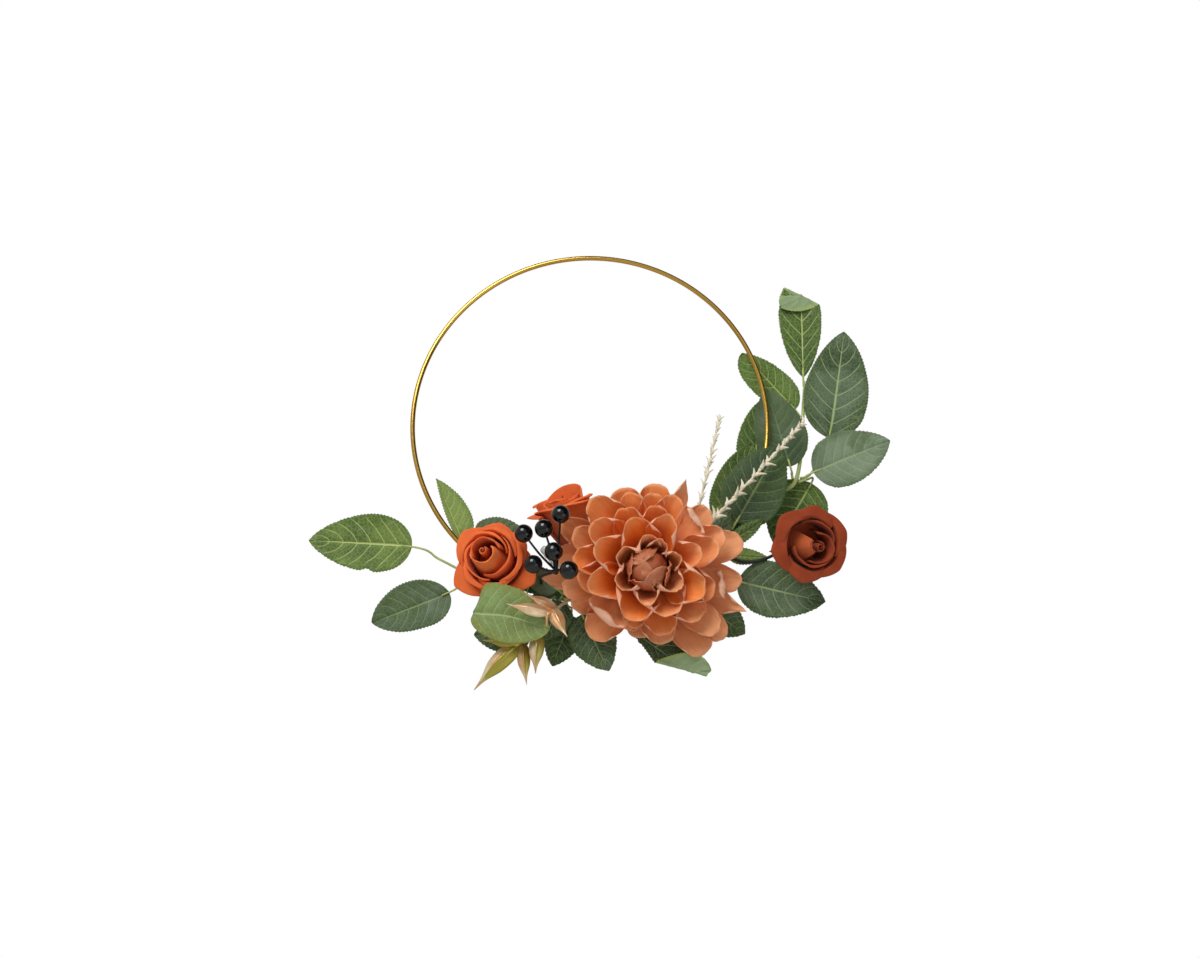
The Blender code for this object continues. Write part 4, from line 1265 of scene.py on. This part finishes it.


# Name, kind, body, point on the hoop, route in millimetres (stalk to its third point unless a base
# is given, then blade), width in millimetres, and what else shapes it.
# A leaf's tint is partly its own tone and partly painted light: leaves seen lit with a sheen have high tints
# and are paler, and leaves in shade have low tints and are deeper.
LEAVES = (
    ("leaf_left_upper", "bright", "left_spray", -0.078,
     ((-27, -8, -1), (-48, -8, 10), (-70, -9, 20), (-153, -14, 24)), 47,
     dict(cup=0.10, tint=0.42, wave=2.0, bite=(0.42, 0.12, -1), vein=1.25)),
    ("leaf_left_lower", "dark", "left_spray", -0.078,
     ((-27, -8, -4), (-33, -9, -12), (-39, -10, -18), (-99, -16, -44)), 40,
     dict(cup=0.10, tint=0.42, left=(0.45, 0.7, 1.0), right=(0.6, 0.7, 1.0), vein=0.7)),
    ("leaf_left_tall", "bright", "bound_arrangement", -0.108,
     ((0, BACK + 0.9, 1), (-2, 8, 4), (-5, 10, 8), (-30, 17, 67)), 30,
     dict(twist=10, tint=0.85, left=(0.5, 0.9, 0.28), right=(0.55, 0.9, 1.0))),
    ("leaf_left_rear", "dark", "bound_arrangement", -0.098,
     ((0, BACK + 0.9, 2), (-3, 8, 11), (-4, 10, 19), (36, 14, 28)), 30, dict(tint=0.95)),
    ("leaf_front_light", "light", "bound_arrangement", -0.070,
     ((0, FRONT - 1.0, -4), (-8, -9, -12), (-18, -24, -25), (-24, -38, -36), (5, -43, -40),
      (36, -43, -50)), 45,
     dict(base=3, cup=0.04, tint=0.55, wave=2.4, left=(0.30, 0.75, 1.10), right=(0.45, 0.55, 0.92), vein=1.0,
          stalk_end=(-16, -37, -37))),
    ("leaf_front_dark", "dark", "bound_arrangement", -0.028,
     ((0, FRONT - 1.0, -3), (-10, -8, -18), (-20, -10, -33), (-64, -15, -36)), 31, dict(tint=0.15)),
    ("leaf_low_1", "dark", "bound_arrangement", -0.021,
     ((0, FRONT - 1.0, -3), (3, -5.3, -9), (6, -4.5, -17), (-9, -5, -58)), 30, dict(cup=0.0, tint=-0.15)),
    ("leaf_low_2", "dark", "bound_arrangement", -0.004,
     ((0, FRONT - 1.0, -3), (-1, -8.5, -9), (-2, -10, -16), (19, -15, -62)), 37, dict(cup=0.0, tint=0.05)),
    ("leaf_low_3", "dark", "bound_arrangement", 0.014,
     ((0, FRONT - 1.0, -3), (5, -8, -12), (11, -10, -23), (79, -22, -74)), 36,
     dict(cup=0.0, tint=-0.05, left=(0.5, 0.7, 0.80), right=(2.0, 0.6, 0.85), fold=(0.775, 1.0, 20, 150))),
    ("leaf_right_1", "dark", "bound_arrangement", 0.102,
     ((0, FRONT - 1.0, -3), (13, -7, -13), (26, -8, -22), (95, -14, -40)), 45, dict(cup=0.05, tint=0.28)),
    ("leaf_right_2", "dark", "bound_arrangement", 0.080,
     ((0, FRONT - 1.0, -3), (8, -5.5, -18), (17, -3, -28), (49, 0, -51)), 30, dict(tint=0.25)),
    ("leaf_top", "bright", "right_spray", 0.180,
     ((43, 14, 85.4), (43.2, 14.2, 89), (42.8, 14.9, 93), (42.5, 15.6, 97), (44, 20, 195)), 38,
     dict(base=3, tint=-0.25, left=(0.75, 0.6, 1.0), right=(0.75, 0.6, 0.85), fold=(0.765, 0, 62, 165),
          vein=1.2)),
    ("leaf_high_right", "dark", "right_spray", 0.180,
     ((36, 9, 6), (46, 9, 11), (62, 11, 42), (78, 10, 136)), 53, dict(cup=0.04, tint=0.16, vein=1.25)),
    ("leaf_far_right", "dark", "right_spray", 0.180,
     ((34.5, 6, 2), (40, 5, 4), (47, 4, 10), (110, -4, 35)), 46, dict(cup=0.04, tint=0.95, vein=0.9)),
    ("leaf_high_left", "bright", "right_spray", 0.180,
     ((37.5, 11, 54), (36.5, 10, 59), (34, 9.5, 66), (-9, 9.5, 117)), 35,
     dict(cup=-0.04, tint=0.18, left=(0.6, 0.45, 0.9), right=(0.5, 0.9, 0.85))),
    ("leaf_mid", "dark", "right_spray", 0.180,
     ((30, 8, 5), (29, 7.5, 10), (28, 7, 16), (10, 6.5, 83)), 43, dict(cup=-0.02, tint=0.30, vein=0.35)),
    ("leaf_mid_rear", "bright", "right_spray", 0.180,
     ((17, 10.4, -4), (11, 14, -1), (-1, 16, 10), (7, 20, 78)), 32, dict(tint=0.0)),
    ("leaf_behind_rose", "bright", "right_spray", 0.180,
     ((35, 11, 4), (42, 13, 6), (46, 14, 3), (14, 15, -49)), 50, dict(cup=0.0, tint=-0.15)),
    ("leaf_inner_front", "dark", "bound_arrangement", 0.128,
     ((1, FRONT - 1.0, 2), (4, -7, 5), (7, -8, 9), (44, -10, 73)), 51, dict(cup=-0.02, tint=-0.2, vein=0.55)),
    ("leaf_inner_rear", "bright", "bound_arrangement", 0.112,
     ((0, BACK + 0.9, 3), (6, 8, 12), (11, 10, 21), (34, 11, 93)), 42, dict(cup=0.0, tint=0.0)),
    ("leaf_olive", "light", "bound_arrangement", 0.108,
     ((0, FRONT - 1.0, 3), (1, -7, 11), (2, -7.5, 19), (26, -6.5, 38)), 20, dict(tint=-0.1)),
)


# Small leaves that fill in round the large ones.
SMALL_LEAVES = (
    ("small_leaf_1", "light", "bound_arrangement", 0.000,
     ((0, FRONT - 1.0, 3), (0, -9, 20), (-2, -12, 30), (2, -16, 62)), 16, dict(tint=-0.2)),
    ("small_leaf_2", "bright", "bound_arrangement", 0.112,
     ((0, FRONT - 1.0, 0), (6, -7.5, 1), (11, -9, 2), (40, -11, 22)), 12, dict(tint=0.1)),
    ("small_leaf_3", "bright", "bound_arrangement", 0.112,
     ((0, FRONT - 1.0, -2), (6, -7.5, -5), (11, -8, -8), (42, -10, -9)), 13, dict(tint=0.4)),
    ("small_leaf_4", "dark", "bound_arrangement", 0.100,
     ((0, FRONT - 1.0, 0), (5, -8, 4), (8, -9, 8), (21, -10, 42)), 17, dict(tint=0.0)),
    ("small_leaf_5", "dark", "bound_arrangement", -0.016,
     ((0, FRONT - 1.0, 0), (-6, -12, 0), (-10, -18, 2), (-36, -26, 16)), 20, dict(tint=0.8, vein=0.5)),
    ("small_leaf_7", "dark", "bound_arrangement", -0.012,
     ((0, FRONT - 1.0, 0), (-5, -8, -3), (-9, -10, -7), (-26, -14, -38)), 27, dict(tint=-0.1)),
    ("small_leaf_6", "dark", "bound_arrangement", -0.022,
     ((0, FRONT - 1.0, -2), (-4, -9, -8), (-7, -11, -12), (-34, -14, -14)), 24, dict(tint=0.0)),
)


def blade_share(s, rise, fall):
    """Half-width of a leaf along its blade, from 0 at its base to 1 at its tip, 1 at its widest."""
    s = min(max(s, 0.0), 1.0)
    widest = rise / (rise + fall)
    return (s / widest) ** rise * ((1.0 - s) / (1.0 - widest)) ** fall


def vein_swell(along, across):
    """How far the cloth swells between side veins, 0 on a vein and 1 between two."""
    phase = (along - VEIN_SWEEP * abs(across) ** VEIN_BEND) * VEIN_COUNT
    return math.sin(math.pi * (phase % 1.0)) ** 0.8


def folded(place, axis_point, axis, angle, front):
    """A point beyond a fold line turned over it, towards the front."""
    gap = (place - axis_point).dot(axis.cross(front))
    if gap <= 0.0:
        return place
    turn = Matrix.Rotation(-math.radians(angle) * min(gap / 0.0025, 1.0), 4, axis)
    return axis_point + turn @ (place - axis_point)


def make_leaf(look, name, kind, body, arc, points, width, base=2, cup=0.06, twist=0.0, tint=0.5, wave=1.0,
              left=(0.5, 0.8, 1.0), right=(0.5, 0.8, 1.0), fold=None, bite=None, vein=1.0, stalk_end=None,
              stands_for=True):
    """One cloth leaf: a round stalk, a toothed blade with swells between its veins, and its fold."""
    route = from_hoop(arc, *points)
    stalk = smooth_route(route[:base + 1] + [route[base + 1]], 8)[:base * 8 + 2]
    if stalk_end:
        stalk = smooth_route(route[:base] + from_hoop(arc, stalk_end), 8)
    length = sum((second - first).length for first, second in zip(route[base:], route[base + 1:]))
    teeth = max(round(length * 1.15 / look.tooth_pitch), 8)
    rows = teeth * 4
    spine = evened(smooth_route([route[base - 1]] + route[base:], 40)[40:], rows)
    front = Vector((0.0, -1.0, 0.0))
    half_width = width * MM / 2
    seed = sum(map(ord, name)) * 0.37

    def axes_at(row):
        ahead = (spine[min(row + 1, rows)] - spine[max(row - 1, 0)]).normalized()
        side = ahead.cross(front).normalized()
        return ahead, side, side.cross(ahead).normalized()

    def shape(along, across):
        row = round(along * rows)
        ahead, side, lift = axes_at(row)
        across = -across
        rise, fall, share = right if across > 0 else left
        uneven = 1.0 + 0.05 * noise.noise(Vector((along * 3.3, math.copysign(3, across), seed)))
        half = max(half_width * share * uneven * blade_share(along, rise, fall), 0.0003)
        if bite and across * bite[2] > 0:
            half *= 1.0 - bite[1] * math.exp(-((along - bite[0]) / 0.05) ** 2)
        tooth = ((along * teeth) % 1.0) * look.tooth * ease(abs(across), 0.72, 1.0)
        tooth *= ease(along, 0.04, 0.16) * (1.0 - 0.7 * ease(along, 0.9, 1.0))
        reach = across * half + math.copysign(tooth, across)
        swell = look.relief * (vein_swell(along, across) - 0.4)
        swell *= (1 - abs(across) ** 3) * min(half / 0.01, 1.0)
        trough = -0.0009 * math.exp(-(across / 0.07) ** 2)
        ripple = noise.noise(Vector((along * 4.2, math.copysign(2, across), seed)))
        ripple *= 0.0012 * wave * across ** 2
        slow = 0.0016 * noise.noise(Vector((along * 1.7, across * 0.8, seed * 1.7)))
        height = (cup + 0.05) * half * abs(across) ** 1.5 + swell + trough + ripple + slow
        turn = Matrix.Rotation(math.radians(twist) * along, 3, ahead)
        place = spine[row] + turn @ (side * reach + lift * height)
        if fold:
            fold_row = round(fold[0] * rows)
            fold_ahead, fold_side, fold_lift = axes_at(fold_row)
            axis = Matrix.Rotation(math.radians(fold[2]), 3, fold_lift) @ fold_ahead
            place = folded(place, spine[fold_row] + fold_side * fold[1] * MM, axis, fold[3], fold_lift)
        return place

    form = new_form()
    # The tint, partly painted light, moves the leaf between its deep and its pale green.
    add_sheet(form, rows, 28, shape, tint)
    stands = (name,) if stands_for else ()
    item = piece(f"{name}_cloth", form, list(leaf_finishes(kind, vein)), body, stands)
    thicken(item, look.cloth)

    form = new_form()
    add_tube(form, stalk, lambda along, angle: 0.00115 - 0.00035 * along, 12, tint)
    piece(f"{name}_stalk", form, [green_stem()], body, ())


class WREATH_OT_leaves(bpy.types.Operator):
    """Make every leaf of the wreath"""
    bl_idname = "wreath.leaves"
    bl_label = "Leaves"

    def execute(self, context):
        look = context.scene.wreath_leaves
        for name, kind, body, arc, points, width, more in LEAVES:
            make_leaf(look, name, kind, body, arc, points, width, **more)
        for name, kind, body, arc, points, width, more in SMALL_LEAVES:
            make_leaf(look, name, kind, body, arc, points, width, stands_for=False, **more)
        return {"FINISHED"}


class WREATH_OT_stems(bpy.types.Operator):
    """Make the stems of the two leaf sprays"""
    bl_idname = "wreath.stems"
    bl_label = "Spray Stems"

    def execute(self, context):
        stems = (
            ("left_spray_stem", "left_spray", -0.078,
             ((-7, FRONT - 1.6, -2), (-14, -7.5, -4), (-25, -8, -2))),
            ("right_spray_stem", "right_spray", 0.180,
             ((1, BACK + 1.6, -1), (12, 7.5, -5), (22, 8, -4), (32, 8, 3), (38, 12, 28), (40, 13, 53),
              (43, 14, 86))))
        for name, body, arc, points in stems:
            route = smooth_route(from_hoop(arc, *points), 12)
            form = new_form()

            def reach(along, angle, seed=arc):
                knots = 0.0003 * max(noise.noise(Vector((along * 14, seed, 0.0))), 0.0)
                return 0.0020 - 0.0006 * along + knots

            add_tube(form, route, reach, 16)
            piece(f"{name}_moulded", form, [green_stem()], body, (name,))
        return {"FINISHED"}


# ---------------------------------------------------------------- stage

# Where the camera stands, how far it is turned up from straight down, and what the lights aim at.
CAMERA_PLACE = (0.008359, -1.329296, -0.559036)
CAMERA_TURN = math.radians(105.3387)
LIGHT_TARGET = Vector((0.02, 0.0, -0.24))


class StageSettings(bpy.types.PropertyGroup):
    key: FloatProperty(name="Key Light", description="Power of the large soft light", default=21.0, min=0.0,
                       unit="POWER")
    fill: FloatProperty(name="Fill Light", description="Power of the soft light at the lower right",
                        default=2.0, min=0.0, unit="POWER")
    ambient: FloatProperty(name="Ambient", description="Strength of the light from all round", default=0.36,
                           min=0.0, max=4.0, subtype="FACTOR")
    floor: FloatProperty(name="Floor", description="Height of the floor", default=-1.0, unit="LENGTH")


class WREATH_OT_stage(bpy.types.Operator):
    """Set the pale floor, the soft light and the camera"""
    bl_idname = "wreath.stage"
    bl_label = "Stage"

    def execute(self, context):
        look = context.scene.wreath_stage
        context.scene.view_settings.view_transform = "Standard"
        self.make_camera(context)
        self.make_world(context, look)
        self.make_light("key_light", (-0.55, -1.35, 0.85), 0.9, look.key)
        self.make_light("fill_light", (0.95, -1.10, -0.75), 0.9, look.fill)
        form = new_form()
        add_sheet(form, 4, 4, lambda along, across: Vector(((along - 0.5) * 8.0, across * 4.0, look.floor)))
        mesh = bpy.data.meshes.new("floor")
        form.to_mesh(mesh)
        form.free()
        floor = bpy.data.objects.new("floor", mesh)
        made, tree, shader = new_finish("pale_floor", Roughness=0.9)
        place = tree.nodes.new("ShaderNodeTexCoord").outputs["Object"]
        grain = noise_at(tree, place, 3.0, 2.0)
        tree.links.new(blend_colours(tree, grain, (0.86, 0.86, 0.85), (0.82, 0.82, 0.81)),
                       shader.inputs["Base Color"])
        shader.inputs["Emission Color"].default_value = (1.0, 1.0, 1.0, 1.0)
        ray = tree.nodes.new("ShaderNodeLightPath")
        glow = calc(tree, "MULTIPLY", ray.outputs["Is Camera Ray"], 0.42)
        tree.links.new(glow, shader.inputs["Emission Strength"])
        mesh.materials.append(made)
        context.scene.collection.objects.link(floor)
        return {"FINISHED"}

    def make_camera(self, context):
        data = bpy.data.cameras.new("view")
        data.lens = 50.0
        data.sensor_width = 36.0
        camera = bpy.data.objects.new("view", data)
        camera.location = CAMERA_PLACE
        camera.rotation_euler = (CAMERA_TURN, 0.0, 0.0)
        context.scene.collection.objects.link(camera)
        context.scene.camera = camera

    def make_light(self, name, place, size, power):
        data = bpy.data.lights.new(name, "AREA")
        data.size = size
        data.energy = power
        light = bpy.data.objects.new(name, data)
        light.location = place
        aim = LIGHT_TARGET - light.location
        light.rotation_mode = "QUATERNION"
        light.rotation_quaternion = aim.to_track_quat("-Z", "Y")
        bpy.context.scene.collection.objects.link(light)

    def make_world(self, context, look):
        """White all round; what metal and gloss see is dimmer, darker below, with a dark band in front."""
        world = bpy.data.worlds.new("studio")
        context.scene.world = world
        world.use_nodes = True
        tree = world.node_tree
        back = tree.nodes["Background"]
        path = tree.nodes.new("ShaderNodeLightPath")
        place = tree.nodes.new("ShaderNodeTexCoord").outputs["Generated"]
        split = tree.nodes.new("ShaderNodeSeparateXYZ")
        tree.links.new(place, split.inputs[0])
        toward = tree.nodes.new("ShaderNodeVectorMath")
        toward.operation = "DOT_PRODUCT"
        tree.links.new(place, toward.inputs[0])
        toward.inputs[1].default_value = (0.0, -0.964, 0.265)
        ring_in = remap(tree, toward.outputs["Value"], -0.35, -0.10, 0.0, 1.0)
        ring_out = remap(tree, toward.outputs["Value"], 0.74, 0.88, 1.0, 0.0)
        upper = remap(tree, calc(tree, "ADD", split.outputs[0], split.outputs[2]), 0.15, 0.45, 0.0, 1.0)
        band = calc(tree, "MULTIPLY", calc(tree, "MULTIPLY", ring_in, ring_out), upper)
        low = remap(tree, split.outputs[2], -0.6, 0.3, 0.45, 1.0)
        seen = calc(tree, "MULTIPLY", low, calc(tree, "SUBTRACT", 1.0, calc(tree, "MULTIPLY", band, 0.93)))
        gloss = calc(tree, "SUBTRACT", calc(tree, "MULTIPLY", seen, 0.50), look.ambient)
        other = calc(tree, "ADD", calc(tree, "MULTIPLY", path.outputs["Is Glossy Ray"], gloss), look.ambient)
        mixed = calc(tree, "ADD", other, calc(tree, "MULTIPLY", path.outputs["Is Camera Ray"],
                                              calc(tree, "SUBTRACT", 1.0, other)))
        tree.links.new(mixed, back.inputs["Strength"])
        back.inputs["Color"].default_value = (1.0, 1.0, 1.0, 1.0)


# ---------------------------------------------------------------- panel and run

SETTINGS = (("wreath_hoop", HoopSettings), ("wreath_dahlia", DahliaSettings), ("wreath_roses", RoseSettings),
            ("wreath_berries", BerrySettings), ("wreath_pods", PodSettings), ("wreath_grass", GrassSettings),
            ("wreath_leaves", LeafSettings), ("wreath_stage", StageSettings))
OPERATORS = (WREATH_OT_stage, WREATH_OT_hoop, WREATH_OT_dahlia, WREATH_OT_roses, WREATH_OT_berries,
             WREATH_OT_pods, WREATH_OT_glue, WREATH_OT_grass, WREATH_OT_leaves, WREATH_OT_stems)


class WREATH_PT_panel(bpy.types.Panel):
    """Sizes, colours and steps of the wreath"""
    bl_idname = "WREATH_PT_panel"
    bl_label = "Harvest Wreath"
    bl_space_type = "VIEW_3D"
    bl_region_type = "UI"
    bl_category = "Wreath"

    def draw(self, context):
        for name, group in SETTINGS:
            box = self.layout.box()
            for key in group.__annotations__:
                box.prop(getattr(context.scene, name), key)
        for operator in OPERATORS:
            self.layout.operator(operator.bl_idname)


def register():
    for name, group in SETTINGS:
        bpy.utils.register_class(group)
        setattr(bpy.types.Scene, name, PointerProperty(type=group))
    for operator in OPERATORS:
        bpy.utils.register_class(operator)
    bpy.utils.register_class(WREATH_PT_panel)


def unregister():
    bpy.utils.unregister_class(WREATH_PT_panel)
    for operator in reversed(OPERATORS):
        bpy.utils.unregister_class(operator)
    for name, group in reversed(SETTINGS):
        delattr(bpy.types.Scene, name)
        bpy.utils.unregister_class(group)


def main():
    register()
    bpy.ops.wreath.stage()
    bpy.ops.wreath.hoop()
    bpy.ops.wreath.dahlia()
    bpy.ops.wreath.roses()
    bpy.ops.wreath.berries()
    bpy.ops.wreath.pods()
    bpy.ops.wreath.glue()
    bpy.ops.wreath.grass()
    bpy.ops.wreath.leaves()
    bpy.ops.wreath.stems()
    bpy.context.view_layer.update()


if __name__ == "__main__":
    main()
